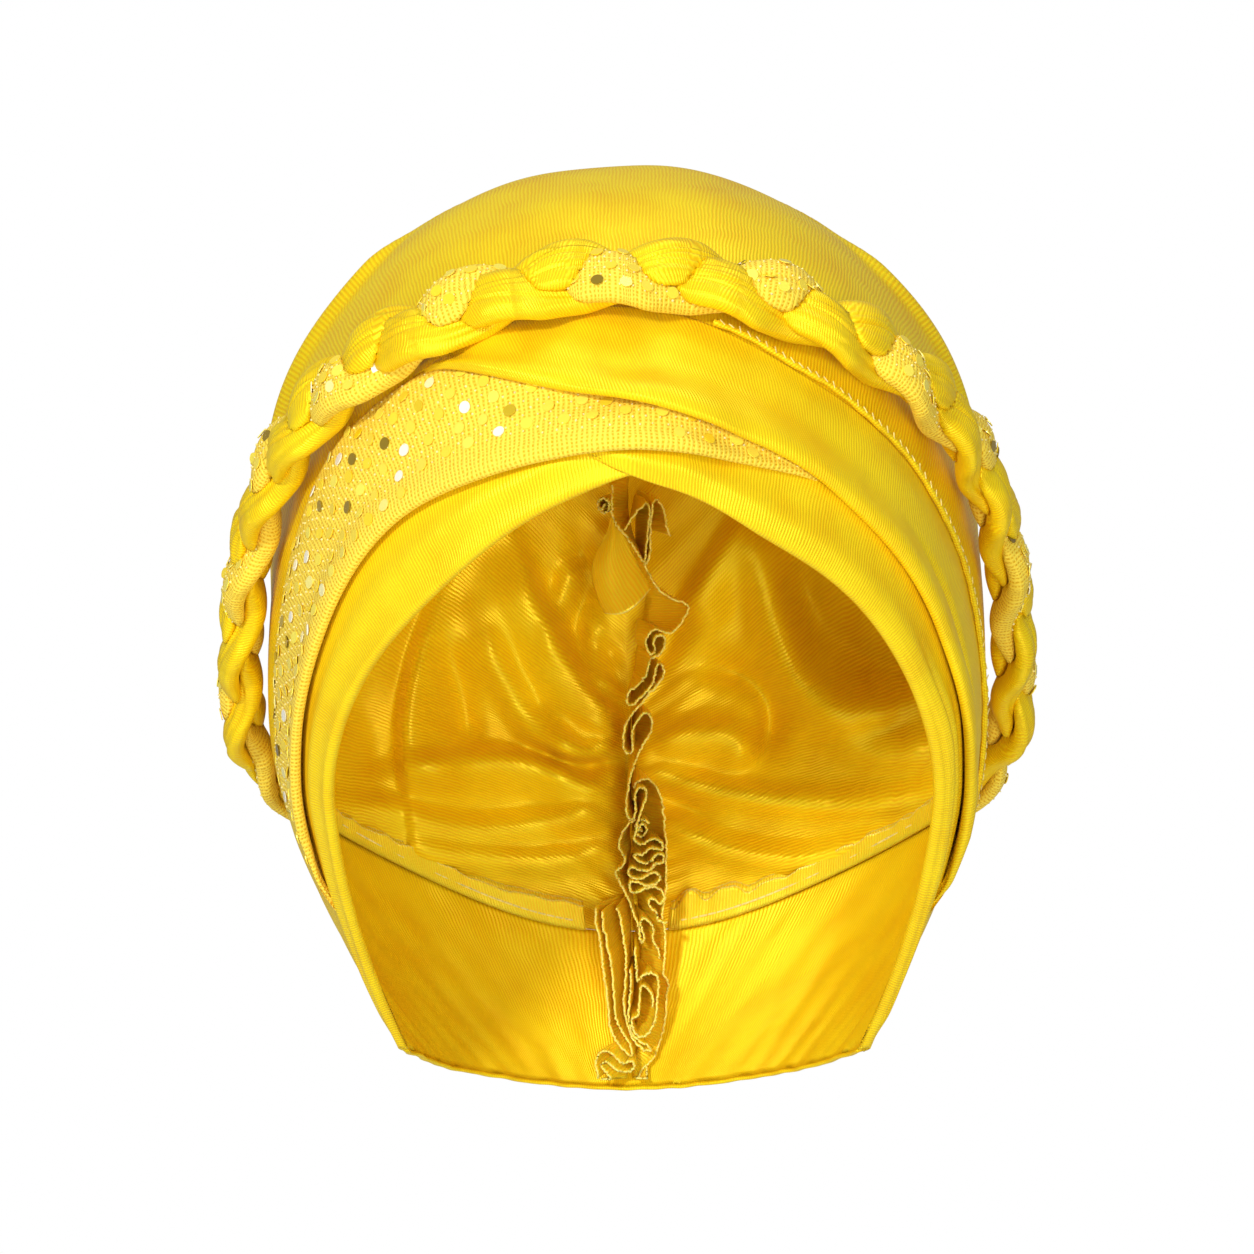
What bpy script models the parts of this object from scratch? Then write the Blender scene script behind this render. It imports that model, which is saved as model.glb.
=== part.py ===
"""A pre-tied turban hat, as it stands on a head, seen from the front along +Y.

A soft cap is gathered into a seam down the centre of its back, over a smooth nape band. Folded
bands cross over the forehead, and a three-strand braid lies over the top from nape to nape.
Every piece lies on one head form, whose places are given by two shares: u runs along an arch from
the left foot of the face opening (-1) over the top (0) to the right foot (1), and v runs back from
the rim of the face opening (0) to the centre-back seam (1). h is the height above the form.
The origin is inside the top of the crown, where the head bears. Metres, +X to the right, +Z up.
"""

import math
from collections import namedtuple

import bmesh
import bpy
import numpy as np

MM = 0.001

# Driving sizes, in millimetres
CLOTH = 1.6  # a folded, double layer of milk-silk knit
SEAM_PLY = 1.2  # the raw allowance of a seam
LAYER_GAP = 0.6  # between two layers of cloth
SATIN_SLACK = 0.4  # how much higher the uppermost band lies
SEAM_GAP = 0.4  # between two panels that meet at a seam
BRAID_PITCH = 84.0  # one full turn of a strand
BRAID_SWAY = 6.6  # how far a strand swings to each side
BRAID_LIFT = 4.6  # how far a strand rises and falls
STRAND_HALF_WIDTH = 3.3
STRAND_HALF_HEIGHT = 2.5
PIPING_RADIUS = 1.3
ALLOWANCE_DEPTH = 6.0  # how far the nape seam's raw edge stands into the hat
RUFFLE_DEPTH = 13.0  # the same for the gathered back seam
FLAP_DEPTH = 24.0  # the loose flap at the top of the gathered seam
RUFFLE_SWAY = 7.0

# Sizes in steps
CROWN_COLUMNS = 38
CROWN_ROWS = 17
BAND_COLUMNS = 28
BRAID_RINGS = 92
STRAND_SIDES = 6
RUFFLE_STEPS = 56

# The head form: each row is an arch, at the share v of the way back from the rim
Arch = namedtuple(
    "Arch", "v half_width widest_z top_z foot_half_width foot_z top_y side_y foot_y squareness"
)
ARCHES = [
    Arch(0.00, 80.0, -170, -88, 65.0, -242.0, -93, -28, 34.0, 1.74),
    Arch(0.10, 88.0, -166, -63, 62.0, -243.9, -86, -12, 42.0, 2.00),
    Arch(0.20, 94.5, -160, -41, 58.0, -246.4, -71, 6, 51.0, 2.20),
    Arch(0.32, 98.5, -152, -18, 52.0, -249.4, -46, 28, 60.0, 2.25),
    Arch(0.45, 98.5, -145, -3.5, 44.0, -251.8, -14, 52, 68.0, 2.22),
    Arch(0.60, 88.0, -141, -0.5, 33.0, -254.5, 25, 77, 76.0, 2.20),
    Arch(0.75, 66.0, -138, -14, 21.0, -256.6, 64, 98, 82.0, 2.30),
    Arch(0.90, 32.0, -137, -41, 9.0, -257.9, 95, 112, 85.5, 2.30),
    Arch(1.00, 0.0, -137, -67, 0.0, -258.3, 111, 117, 87.0, 2.30),
]
HALF_ARCH = 240.0  # the length of half an arch, so what u of 1 measures
FOOT_CURVE = 1.7  # how the arch draws in below its widest point
RIM_SHIFT = 1.8  # the face opening sits this far to the right of the middle
# The face bands droop into the opening at two places: u of the middle, half width in u, depth
Droop = namedtuple("Droop", "u half_width depth")
DROOPS = [Droop(-0.27, 0.17, 0.05), Droop(0.17, 0.13, 0.045)]
DROOP_REACH = 0.20  # v where the droop has faded out

# The nape seam falls from beside the rim to the middle of the back
NAPE_SEAM_SIDE_Z = -176.0
NAPE_SEAM_FALL = 38.0
NAPE_SEAM_START = 0.35

# Folds of the crown that run into the gathered seam: u where each meets the seam and where it
# fades out, how far forward it reaches, its height (below 0 a hollow) and its half width in u
Fold = namedtuple("Fold", "seam_u outer_u reach height half_width")
FOLDS = [
    Fold(-0.08, -0.16, 0.62, -5.0, 0.060),
    Fold(-0.20, -0.30, 0.58, 4.0, 0.060),
    Fold(-0.31, -0.44, 0.60, -6.0, 0.065),
    Fold(-0.42, -0.56, 0.66, 4.0, 0.060),
    Fold(-0.52, -0.63, 0.56, -5.0, 0.055),
    Fold(-0.62, -0.66, 0.50, 3.0, 0.045),
    Fold(0.07, 0.14, 0.60, -4.5, 0.060),
    Fold(0.19, 0.27, 0.52, 4.5, 0.065),
    Fold(0.33, 0.40, 0.58, -6.0, 0.075),
    Fold(0.45, 0.55, 0.60, 4.0, 0.055),
    Fold(0.54, 0.63, 0.50, -4.5, 0.050),
    Fold(0.63, 0.67, 0.50, 4.0, 0.045),
]
# The slack of the back panel, which stands out behind the braid on both sides
Bulge = namedtuple("Bulge", "u v half_width half_length height")
BULGES = [
    Bulge(-0.34, 0.52, 0.17, 0.15, 10.0),
    Bulge(0.35, 0.52, 0.17, 0.15, 8.5),
]

# Bands over the forehead: u of a station, and v of the band's edges there
Station = namedtuple("Station", "u near far")
LEFT_FACE_BAND = [
    Station(-1.00, 0.0, 0.075),
    Station(-0.75, 0.0, 0.088),
    Station(-0.55, 0.0, 0.096),
    Station(-0.36, 0.0, 0.106),
    Station(-0.20, 0.0, 0.088),
    Station(-0.05, 0.0, 0.070),
    Station(0.02, 0.012, 0.064),
    Station(0.10, 0.032, 0.058),
]
RIGHT_FACE_BAND = [
    Station(-0.06, 0.016, 0.034),
    Station(0.00, 0.003, 0.060),
    Station(0.06, 0.0, 0.078),
    Station(0.15, 0.0, 0.090),
    Station(0.40, 0.0, 0.090),
    Station(0.70, 0.0, 0.085),
    Station(1.00, 0.0, 0.070),
]
SEQUIN_WRAP = [
    Station(-0.82, 0.030, 0.044),
    Station(-0.78, 0.044, 0.076),
    Station(-0.74, 0.058, 0.115),
    Station(-0.70, 0.066, 0.160),
    Station(-0.65, 0.068, 0.203),
    Station(-0.55, 0.072, 0.213),
    Station(-0.45, 0.080, 0.213),
    Station(-0.36, 0.084, 0.203),
    Station(-0.30, 0.079, 0.183),
    Station(-0.20, 0.057, 0.155),
    Station(-0.10, 0.036, 0.135),
    Station(0.00, 0.026, 0.112),
    Station(0.08, 0.037, 0.100),
    Station(0.16, 0.055, 0.095),
    Station(0.28, 0.083, 0.094),
]
SATIN_WRAP = [
    Station(-0.19, 0.150, 0.159),
    Station(-0.15, 0.130, 0.157),
    Station(-0.10, 0.103, 0.153),
    Station(-0.05, 0.084, 0.149),
    Station(0.00, 0.071, 0.147),
    Station(0.06, 0.065, 0.147),
    Station(0.12, 0.068, 0.148),
    Station(0.20, 0.071, 0.153),
    Station(0.30, 0.068, 0.160),
    Station(0.40, 0.068, 0.170),
    Station(0.50, 0.064, 0.182),
    Station(0.60, 0.056, 0.182),
    Station(0.68, 0.053, 0.160),
    Station(0.73, 0.050, 0.127),
    Station(0.78, 0.044, 0.084),
    Station(0.82, 0.034, 0.052),
]
PANEL_START = 0.046  # v where the crown and the nape band start, behind the rim
WRAP_PIPING = (0.06, 0.70)  # u where the piping on the satin wrap starts and ends
PIPING_OUT = 0.012  # v of the piping past the wrap's far edge

# The braid's middle line, from the left end at the back seam over the top to the right end
BraidPoint = namedtuple("BraidPoint", "u v")
BRAID_ROUTE = [
    BraidPoint(0.735, 0.965),
    BraidPoint(0.735, 0.80),
    BraidPoint(0.740, 0.66),
    BraidPoint(0.735, 0.57),
    BraidPoint(0.705, 0.49),
    BraidPoint(0.650, 0.42),
    BraidPoint(0.570, 0.355),
    BraidPoint(0.450, 0.298),
    BraidPoint(0.320, 0.238),
    BraidPoint(0.200, 0.207),
    BraidPoint(0.100, 0.200),
]
BRAID_TOP = BraidPoint(0.0, 0.199)
BRAID_AHEAD = 7.0  # how far along its turn the sequin strand is at the top
BRAID_SLIMMING = 0.36  # how much thinner the braid gets towards the nape, as a share

YELLOW = (0.93, 0.56, 0.012)
DEEP_YELLOW = (0.80, 0.42, 0.010)
SEQUIN_YELLOW = (0.88, 0.58, 0.10)


def spline(knots, values, at):
    """A natural cubic through the knots, read at the places asked for."""
    count = len(knots)
    step = np.diff(knots)
    rise = np.diff(values) / step
    matrix, right = np.eye(count), np.zeros(count)
    for i in range(1, count - 1):
        matrix[i, i - 1 : i + 2] = step[i - 1], 2 * (step[i - 1] + step[i]), step[i]
        right[i] = 6 * (rise[i] - rise[i - 1])
    bend = np.linalg.solve(matrix, right)
    at = np.clip(at, knots[0], knots[-1])
    i = np.clip(np.searchsorted(knots, at, side="right") - 1, 0, count - 2)
    past, left = at - knots[i], knots[i + 1] - at
    cubic = (bend[i] * left**3 + bend[i + 1] * past**3) / (6 * step[i])
    start = values[i] / step[i] - bend[i] * step[i] / 6
    end = values[i + 1] / step[i] - bend[i + 1] * step[i] / 6
    return cubic + start * left + end * past


def column(rows, name):
    return np.array([getattr(row, name) for row in rows], float)


def smooth(low, high, value):
    """0 below low, 1 above high and an S between them."""
    share = np.clip((value - low) / (high - low), 0, 1)
    return share * share * (3 - 2 * share)


def form(u, v):
    """The head form's point at u and v, in millimetres."""
    u, v = np.broadcast_arrays(np.asarray(u, float), np.asarray(v, float))
    arch = {name: spline(column(ARCHES, "v"), column(ARCHES, name), v) for name in Arch._fields[1:]}
    half, foot_half = np.maximum(arch["half_width"], 0), np.maximum(arch["foot_half_width"], 0)
    widest, top, foot = arch["widest_z"], arch["top_z"], arch["foot_z"]
    over = 0.5 * math.pi * np.sqrt((half**2 + (top - widest) ** 2) / 2)
    down = np.hypot(widest - foot, half - foot_half)
    turn = over / (over + down)
    along = np.abs(u)
    angle = 0.5 * math.pi * np.clip(along / turn, 0, 1)
    power = arch["squareness"]
    reach = (np.sin(angle) ** power + np.cos(angle) ** power) ** (-1 / power)
    below = np.maximum((along - turn) / (1 - turn), 0)
    upper = along <= turn
    x = np.where(upper, half * reach * np.sin(angle), half + (foot_half - half) * below**FOOT_CURVE)
    z = np.where(
        upper, widest + (top - widest) * reach * np.cos(angle), widest + (foot - widest) * below
    )
    y = (
        arch["top_y"] * (z - widest) * (z - foot) / ((top - widest) * (top - foot))
        + arch["side_y"] * (z - top) * (z - foot) / ((widest - top) * (widest - foot))
        + arch["foot_y"] * (z - top) * (z - widest) / ((foot - top) * (foot - widest))
    )
    droop = sum(d.depth * np.exp(-(((u - d.u) / d.half_width) ** 2)) for d in DROOPS)
    shrink = 1 - droop * (1 - smooth(0, DROOP_REACH, v))
    x = np.sign(u) * x * shrink + RIM_SHIFT * (1 - smooth(0, 0.4, v))
    return np.stack([x, y, widest + (z - widest) * shrink], axis=-1)


def outward(u, v, step=1e-3):
    """The form's outward normal at u and v."""
    u, v = np.broadcast_arrays(np.asarray(u, float), np.asarray(v, float))
    side = np.where(u < 0, -1.0, 1.0)
    clear_u = side * np.maximum(np.abs(u), 2 * step)
    along = form(clear_u + step, v) - form(clear_u - step, v)
    back = form(clear_u, np.minimum(v + step, 1)) - form(clear_u, np.maximum(v - step, 0))
    normal = np.cross(along, back)
    return normal / np.linalg.norm(normal, axis=-1, keepdims=True)


def on_form(u, v, h):
    """The point at height h above the form, in metres."""
    return (form(u, v) + np.asarray(h, float)[..., None] * outward(u, v)) * MM


def nape_seam_u(v):
    """u of the nape seam at v, from the height that it has there."""
    height = NAPE_SEAM_SIDE_Z - NAPE_SEAM_FALL * smooth(NAPE_SEAM_START, 1.0, v)
    low, high = np.full_like(v, 0.3), np.full_like(v, 1.0)
    for _ in range(30):
        middle = (low + high) / 2
        above = form(middle, v)[..., 2] > height
        low, high = np.where(above, middle, low), np.where(above, high, middle)
    return (low + high) / 2


def fold_height(u, v):
    """How far the crown's folds stand out of the form."""
    height = np.zeros(np.broadcast(u, v).shape)
    for fold in FOLDS:
        share = smooth(fold.reach - 0.12, 1.0, v)
        middle = fold.outer_u + (fold.seam_u - fold.outer_u) * smooth(fold.reach - 0.2, 1.0, v)
        bell = np.exp(-(((u - middle) / fold.half_width) ** 2))
        height += fold.height * bell * share * (1 - 0.9 * smooth(0.84, 0.98, v))
    for bulge in BULGES:
        across = np.exp(-(((u - bulge.u) / bulge.half_width) ** 2))
        height += bulge.height * across * np.exp(-(((v - bulge.v) / bulge.half_length) ** 2))
    return height


def cloth_material(name, colour, roughness, sheen):
    material = bpy.data.materials.new(name)
    material.use_nodes = True
    shader = material.node_tree.nodes["Principled BSDF"]
    shader.inputs["Base Color"].default_value = (*colour, 1)
    shader.inputs["Roughness"].default_value = roughness
    shader.inputs["Metallic"].default_value = 0.0
    shader.inputs["Sheen Weight"].default_value = sheen
    return material


def finish(mesh, name, material, collection):
    """Puts a mesh in the scene as one smooth-shaded part."""
    part = bpy.data.objects.new(name, mesh)
    mesh.materials.append(material)
    mesh.shade_smooth()
    mesh.set_sharp_from_angle(angle=math.radians(60))
    collection.objects.link(part)
    return part


def cloth(name, points, thickness, material, collection, sewn=False):
    """A sheet through a grid of points, thickened by half to each side.

    Where it is sewn, the two halves of its last row lie on each other and become one edge.
    """
    rows, columns = points.shape[:2]
    shape = bmesh.new()
    grid = [[shape.verts.new(points[i, j]) for j in range(columns)] for i in range(rows)]
    for i in range(rows - 1):
        for j in range(columns - 1):
            shape.faces.new((grid[i][j], grid[i][j + 1], grid[i + 1][j + 1], grid[i + 1][j]))
    if sewn:
        bmesh.ops.remove_doubles(shape, verts=list({*grid[-1]}), dist=0.02 * MM)
    bmesh.ops.recalc_face_normals(shape, faces=shape.faces)
    mesh = bpy.data.meshes.new(name)
    shape.to_mesh(mesh)
    shape.free()
    part = finish(mesh, name, material, collection)
    thicken = part.modifiers.new("thickness", "SOLIDIFY")
    thicken.thickness = thickness * MM
    thicken.offset = 0.0
    return part


def panel_rows():
    """v of the rows of the crown and the nape band, which share a seam line."""
    share = np.linspace(0, 1, CROWN_ROWS + 1)
    return PANEL_START + (1 - PANEL_START) * share**0.92


def crown(material, collection):
    """The cap's gathered dome, down to the nape seam."""
    v = panel_rows()[:, None]
    across = np.linspace(-1, 1, CROWN_COLUMNS + 1)[None, :]
    edge = nape_seam_u(v)
    u = across * (edge - 0.5 * SEAM_GAP / HALF_ARCH)
    points = on_form(u, v, fold_height(u, v))
    points[-1] = (points[-1] + points[-1, ::-1]) / 2
    points[-1, :, 0] = 0.0
    return cloth("crown", points, CLOTH, material, collection, sewn=True)


def nape_band(material, collection):
    """The smooth band below the crown, in one piece round the nape."""
    side = panel_rows()
    v = np.concatenate([side, side[-2::-1]])[None, :]
    half = np.concatenate([-np.ones(len(side)), np.ones(len(side) - 1)])[None, :]
    down = np.linspace(0, 1, 4)[:, None]
    edge = nape_seam_u(v) + 0.5 * SEAM_GAP / HALF_ARCH
    u = half * (edge + (1 - edge) * down)
    points = on_form(u, v, np.zeros(np.broadcast(u, v).shape))
    points[:, len(side) - 1, 0] = 0.0
    return cloth("nape_band", points, CLOTH, material, collection)


def edges_at(stations, u):
    """v of a band's near and far edges at u."""
    knots = column(stations, "u")
    near = np.maximum(spline(knots, column(stations, "near"), u), 0)
    far = spline(knots, column(stations, "far"), u)
    return near, far


def footprint(stations, u, v, margin=0.014, fade=0.050):
    """1 where a band lies and a little round it, falling off to 0 past that."""
    near, far = edges_at(stations, u)
    across = smooth(near - margin - fade, near - margin, v) * (1 - smooth(far + margin, far + margin + fade, v))
    ends = 2.2 * margin
    start, end = stations[0].u - ends, stations[-1].u + ends
    along = smooth(start - 2 * fade, start, u) * (1 - smooth(end, end + 2 * fade, u))
    return across * along


def bed(under, u, v):
    """The height of the middle of a layer that lies on the crown and on the bands under it."""
    ground = np.full(np.broadcast(u, v).shape, CLOTH + LAYER_GAP)
    height = ground.copy()
    for stations, below in under:
        lifted = bed(below, u, v) + CLOTH + LAYER_GAP
        height = np.maximum(height, ground + (lifted - ground) * footprint(stations, u, v))
    return height


FACE_LEFT_UNDER = []
FACE_RIGHT_UNDER = [(LEFT_FACE_BAND, FACE_LEFT_UNDER)]
SEQUIN_UNDER = [(LEFT_FACE_BAND, FACE_LEFT_UNDER), (RIGHT_FACE_BAND, FACE_RIGHT_UNDER)]
SATIN_UNDER = SEQUIN_UNDER + [(SEQUIN_WRAP, SEQUIN_UNDER)]


def wrap(name, stations, under, slack, material, collection):
    """A flat band that lies over the layers under it, a little higher where it is slack."""
    u = np.linspace(stations[0].u, stations[-1].u, BAND_COLUMNS + 1)[None, :]
    near, far = edges_at(stations, u)
    share = np.array([0, 0.14, 0.32, 0.52, 0.72, 0.88, 1.0])[:, None]
    v = near + (far - near) * share
    points = on_form(u, v, bed(under, u, v) + slack)
    return cloth(name, points, CLOTH, material, collection)


def face_band(name, stations, under, open_from, open_to, material, collection):
    """A band whose near edge turns round the rim of the face opening, to the inside.

    Between open_from and open_to it turns in; elsewhere it lies flat on the band under it.
    """
    u = np.linspace(stations[0].u, stations[-1].u, BAND_COLUMNS + 1)[None, :]
    near, far = edges_at(stations, u)
    turned = smooth(min(open_from), max(open_from), u) * (1 - smooth(min(open_to), max(open_to), u))
    lip = [(0.038, -1.0), (0.018, -1.05), (0.002, -0.75), (-0.004, 0.0), (0.004, 0.8)]
    rows = []
    for back, lift in lip:
        height = bed(under, u, near + abs(back)) * (lift * turned + 1 * (1 - turned))
        rows.append((near + back * turned**2 + 0.004 * (1 - turned) * (back - 0.04), height))
    for share in (0.2, 0.45, 0.72, 1.0):
        v = near + (far - near) * share
        rows.append((v, bed(under, u, v)))
    v = np.concatenate([np.broadcast_to(row[0], u.shape) for row in rows])
    h = np.concatenate([np.broadcast_to(row[1], u.shape) for row in rows])
    along = np.broadcast_to(u, v.shape)
    past_rim = np.minimum(v, 0)[..., None] * (form(along, 0.02) - form(along, 0.0)) / 0.02
    points = on_form(along, np.maximum(v, 0), h) + past_rim * MM
    return cloth(name, points, CLOTH, material, collection)


def tube(name, line, radius, material, collection):
    """A round cord along a line of points."""
    curve = bpy.data.curves.new(name, "CURVE")
    curve.dimensions = "3D"
    curve.bevel_depth = radius * MM
    curve.bevel_resolution = 1
    curve.use_fill_caps = True
    spline_line = curve.splines.new("POLY")
    spline_line.points.add(len(line) - 1)
    for point, place in zip(spline_line.points, line):
        point.co = (*place, 1)
    part = bpy.data.objects.new(name, curve)
    curve.materials.append(material)
    collection.objects.link(part)
    return part


def piping(material, collection):
    """The rolled raw edge along the far edge of the satin wrap."""
    u = np.linspace(*WRAP_PIPING, 34)
    far = edges_at(SATIN_WRAP, u)[1] + PIPING_OUT
    height = bed(SATIN_UNDER, u, far) + PIPING_RADIUS - 0.5 * CLOTH
    return tube("wrap_piping", on_form(u, far, height), PIPING_RADIUS, material, collection)


def braid_line(count):
    """Points along the braid's middle, with its sideways and outward directions."""
    left = [BraidPoint(-row.u, row.v) for row in BRAID_ROUTE]
    route = [*left, BRAID_TOP, *reversed(BRAID_ROUTE)]
    knots = np.linspace(0, 1, len(route))
    fine = np.linspace(0, 1, 1200)
    u = spline(knots, column(route, "u"), fine)
    v = spline(knots, column(route, "v"), fine)
    ends = np.abs(u) + 0.5 * np.maximum(v - 0.45, 0)
    slim = 1 - BRAID_SLIMMING * smooth(0.62, 0.74, ends)
    rest = 0.5 * CLOTH + LAYER_GAP + (BRAID_LIFT + STRAND_HALF_HEIGHT) * slim
    height = rest + np.maximum(fold_height(u, v), 0)
    line = on_form(u, v, height) / MM
    run = np.concatenate([[0], np.cumsum(np.linalg.norm(np.diff(line, axis=0), axis=1))])
    even = np.linspace(0, run[-1], count)
    place = np.stack([np.interp(even, run, line[:, k]) for k in range(3)], axis=1)
    u, v = np.interp(even, run, u), np.interp(even, run, v)
    ahead = np.gradient(place, axis=0)
    ahead /= np.linalg.norm(ahead, axis=1, keepdims=True)
    out = outward(u, v)
    out -= (out * ahead).sum(1, keepdims=True) * ahead
    out /= np.linalg.norm(out, axis=1, keepdims=True)
    return place, np.cross(ahead, out), out, even, np.interp(even, run, slim)


def braid_strand(name, number, material, collection):
    """One of the three strands, a flattened tube that passes over and under the others."""
    place, side, out, run, slim = braid_line(BRAID_RINGS)
    phase = 2 * math.pi * (run - run[-1] / 2 + BRAID_AHEAD) / BRAID_PITCH + 2 * math.pi * number / 3
    taper = slim * (0.7 + 0.3 * smooth(0, 40, np.minimum(run, run[-1] - run)))
    sway, lift = BRAID_SWAY * taper * np.sin(phase), BRAID_LIFT * slim * np.sin(2 * phase)
    centre = place + sway[:, None] * side + lift[:, None] * out
    shape = bmesh.new()
    rings = []
    for i in range(len(run)):
        ring = []
        for j in range(STRAND_SIDES):
            angle = 2 * math.pi * (j + 0.5) / STRAND_SIDES
            across = STRAND_HALF_WIDTH * taper[i] * math.cos(angle) * side[i]
            up = STRAND_HALF_HEIGHT * slim[i] * math.sin(angle) * out[i]
            ring.append(shape.verts.new((centre[i] + across + up) * MM))
        rings.append(ring)
    for first, second in zip(rings, rings[1:]):
        for j in range(STRAND_SIDES):
            k = (j + 1) % STRAND_SIDES
            shape.faces.new((first[j], first[k], second[k], second[j]))
    shape.faces.new(rings[0])
    shape.faces.new(rings[-1])
    bmesh.ops.recalc_face_normals(shape, faces=shape.faces)
    mesh = bpy.data.meshes.new(name)
    shape.to_mesh(mesh)
    shape.free()
    return finish(mesh, name, material, collection)


def seam_allowance(name, half, material, collection):
    """The raw edge of one half of the nape seam, which stands up inside the hat."""
    v = np.linspace(0.10, 0.93, 26)[None, :]
    out = np.array([0, 0.5, 1.0])[:, None]
    ripple = 1.4 * np.sin(2 * math.pi * 9 * v) * smooth(0.6, 0.9, v) * out
    edge = nape_seam_u(v) - 0.022 * out
    clearance = 0.5 * CLOTH + 0.5 * SEAM_PLY + LAYER_GAP
    dip = np.minimum(fold_height(edge, v), 0)
    height = dip - clearance - (ALLOWANCE_DEPTH - clearance) * out * (1 + 0.1 * ripple)
    points = on_form(half * edge, v, height)
    return cloth(name, points, SEAM_PLY, material, collection)


def ruffle(material, collection):
    """The gathered allowance of the centre-back seam, inside the hat."""
    down = np.linspace(0.0, 1.0, RUFFLE_STEPS + 1)[None, :]
    out = np.array([0.0, 0.5, 1.0])[:, None]
    u = 0.10 + (0.985 - 0.10) * down
    foot = form(u, 1.0)
    flap = np.exp(-(((down - 0.10) / 0.09) ** 2))
    depth = RUFFLE_DEPTH + (FLAP_DEPTH - RUFFLE_DEPTH) * flap
    turn = 2 * math.pi * (6.5 * down + 0.9 * np.sin(5.0 * down))
    sway = RUFFLE_SWAY * np.sin(turn) * out**1.5 + 2.0 * np.sin(2.3 * turn) * out**2
    clearance = 0.5 * CLOTH + 0.5 * SEAM_PLY + 1.4 * LAYER_GAP
    y = foot[..., 1] - clearance - depth * out
    z = foot[..., 2] + 3.0 * np.cos(turn) * out
    points = np.stack([sway, y, np.broadcast_to(z, y.shape)], axis=-1) * MM
    return cloth("back_seam_ruffle", points, SEAM_PLY, material, collection)


def build():
    for old in list(bpy.data.objects):
        bpy.data.objects.remove(old)
    hat = bpy.data.collections.new("turban_hat")
    bpy.context.scene.collection.children.link(hat)
    satin = cloth_material("satin", YELLOW, 0.45, 0.3)
    shade = cloth_material("satin_inside", DEEP_YELLOW, 0.5, 0.2)
    sequined = cloth_material("sequin_cloth", SEQUIN_YELLOW, 0.4, 0.1)
    crown(satin, hat)
    nape_band(satin, hat)
    face_band(
        "face_band_left", LEFT_FACE_BAND, FACE_LEFT_UNDER, (-1.2, -1.1), (-0.06, 0.0), satin, hat
    )
    face_band(
        "face_band_right", RIGHT_FACE_BAND, FACE_RIGHT_UNDER, (0.13, 0.17), (1.1, 1.2), satin, hat
    )
    wrap("sequin_wrap", SEQUIN_WRAP, SEQUIN_UNDER, 0.0, sequined, hat)
    wrap("satin_wrap", SATIN_WRAP, SATIN_UNDER, SATIN_SLACK, satin, hat)
    piping(satin, hat)
    braid_strand("braid_strand_sequin", 0, sequined, hat)
    braid_strand("braid_strand_front", 1, satin, hat)
    braid_strand("braid_strand_rear", 2, satin, hat)
    seam_allowance("nape_seam_left", -1, shade, hat)
    seam_allowance("nape_seam_right", 1, shade, hat)
    ruffle(shade, hat)


build()
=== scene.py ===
"""The looks of a pre-tied turban in golden-yellow satin knit and sequined net.

The hat stands as it does on a head and is seen from the front along +Y. Every piece of cloth lies
on one head form, whose places are two shares: u runs along an arch from the left foot of the face
opening (-1) over the top (0) to the right foot (1), and v runs back from the rim of the opening (0)
to the centre-back seam (1). A height h stands out of the form. Lengths are millimetres until a
mesh is made, and metres there.
"""

from __future__ import annotations

import logging
import math
from collections.abc import Callable
from dataclasses import dataclass, field
from enum import Enum
from typing import NamedTuple

import bmesh
import bpy
import numpy as np
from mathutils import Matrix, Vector

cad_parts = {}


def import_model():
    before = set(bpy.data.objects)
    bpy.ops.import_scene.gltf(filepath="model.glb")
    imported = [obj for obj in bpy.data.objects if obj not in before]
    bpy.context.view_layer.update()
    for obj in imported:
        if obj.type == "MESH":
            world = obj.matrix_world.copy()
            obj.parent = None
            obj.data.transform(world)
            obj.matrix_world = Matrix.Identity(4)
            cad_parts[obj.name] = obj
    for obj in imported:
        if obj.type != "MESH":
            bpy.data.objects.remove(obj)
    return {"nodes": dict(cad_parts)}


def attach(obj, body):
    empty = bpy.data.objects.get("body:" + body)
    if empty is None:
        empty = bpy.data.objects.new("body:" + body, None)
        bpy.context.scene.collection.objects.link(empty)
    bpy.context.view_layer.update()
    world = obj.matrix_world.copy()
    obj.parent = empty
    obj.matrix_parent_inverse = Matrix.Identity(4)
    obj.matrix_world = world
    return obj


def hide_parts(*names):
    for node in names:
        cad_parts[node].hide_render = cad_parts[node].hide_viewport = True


LOG = logging.getLogger("turban")
MM = 0.001
BODY = "root"
Array = np.ndarray
Tree = bpy.types.NodeTree
Socket = bpy.types.NodeSocket
Piece = bpy.types.Object


class Arch(NamedTuple):
    """One arch of the head form, at the share v of the way back from the rim."""

    v: float
    half_width: float
    widest_z: float
    top_z: float
    foot_half_width: float
    foot_z: float
    top_y: float
    side_y: float
    foot_y: float
    squareness: float


ARCHES = (
    Arch(0.00, 80.0, -170, -88, 65.0, -242.0, -93, -28, 34.0, 1.74),
    Arch(0.10, 88.0, -166, -63, 62.0, -243.9, -86, -12, 42.0, 2.00),
    Arch(0.20, 94.5, -160, -41, 58.0, -246.4, -71, 6, 51.0, 2.20),
    Arch(0.32, 98.5, -152, -18, 52.0, -249.4, -46, 28, 60.0, 2.25),
    Arch(0.45, 98.5, -145, -3.5, 44.0, -251.8, -14, 52, 68.0, 2.22),
    Arch(0.60, 88.0, -141, -0.5, 33.0, -254.5, 25, 77, 76.0, 2.20),
    Arch(0.75, 66.0, -138, -14, 21.0, -256.6, 64, 98, 82.0, 2.30),
    Arch(0.90, 32.0, -137, -41, 9.0, -257.9, 95, 112, 85.5, 2.30),
    Arch(1.00, 0.0, -137, -67, 0.0, -258.3, 111, 117, 87.0, 2.30),
)


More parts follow.
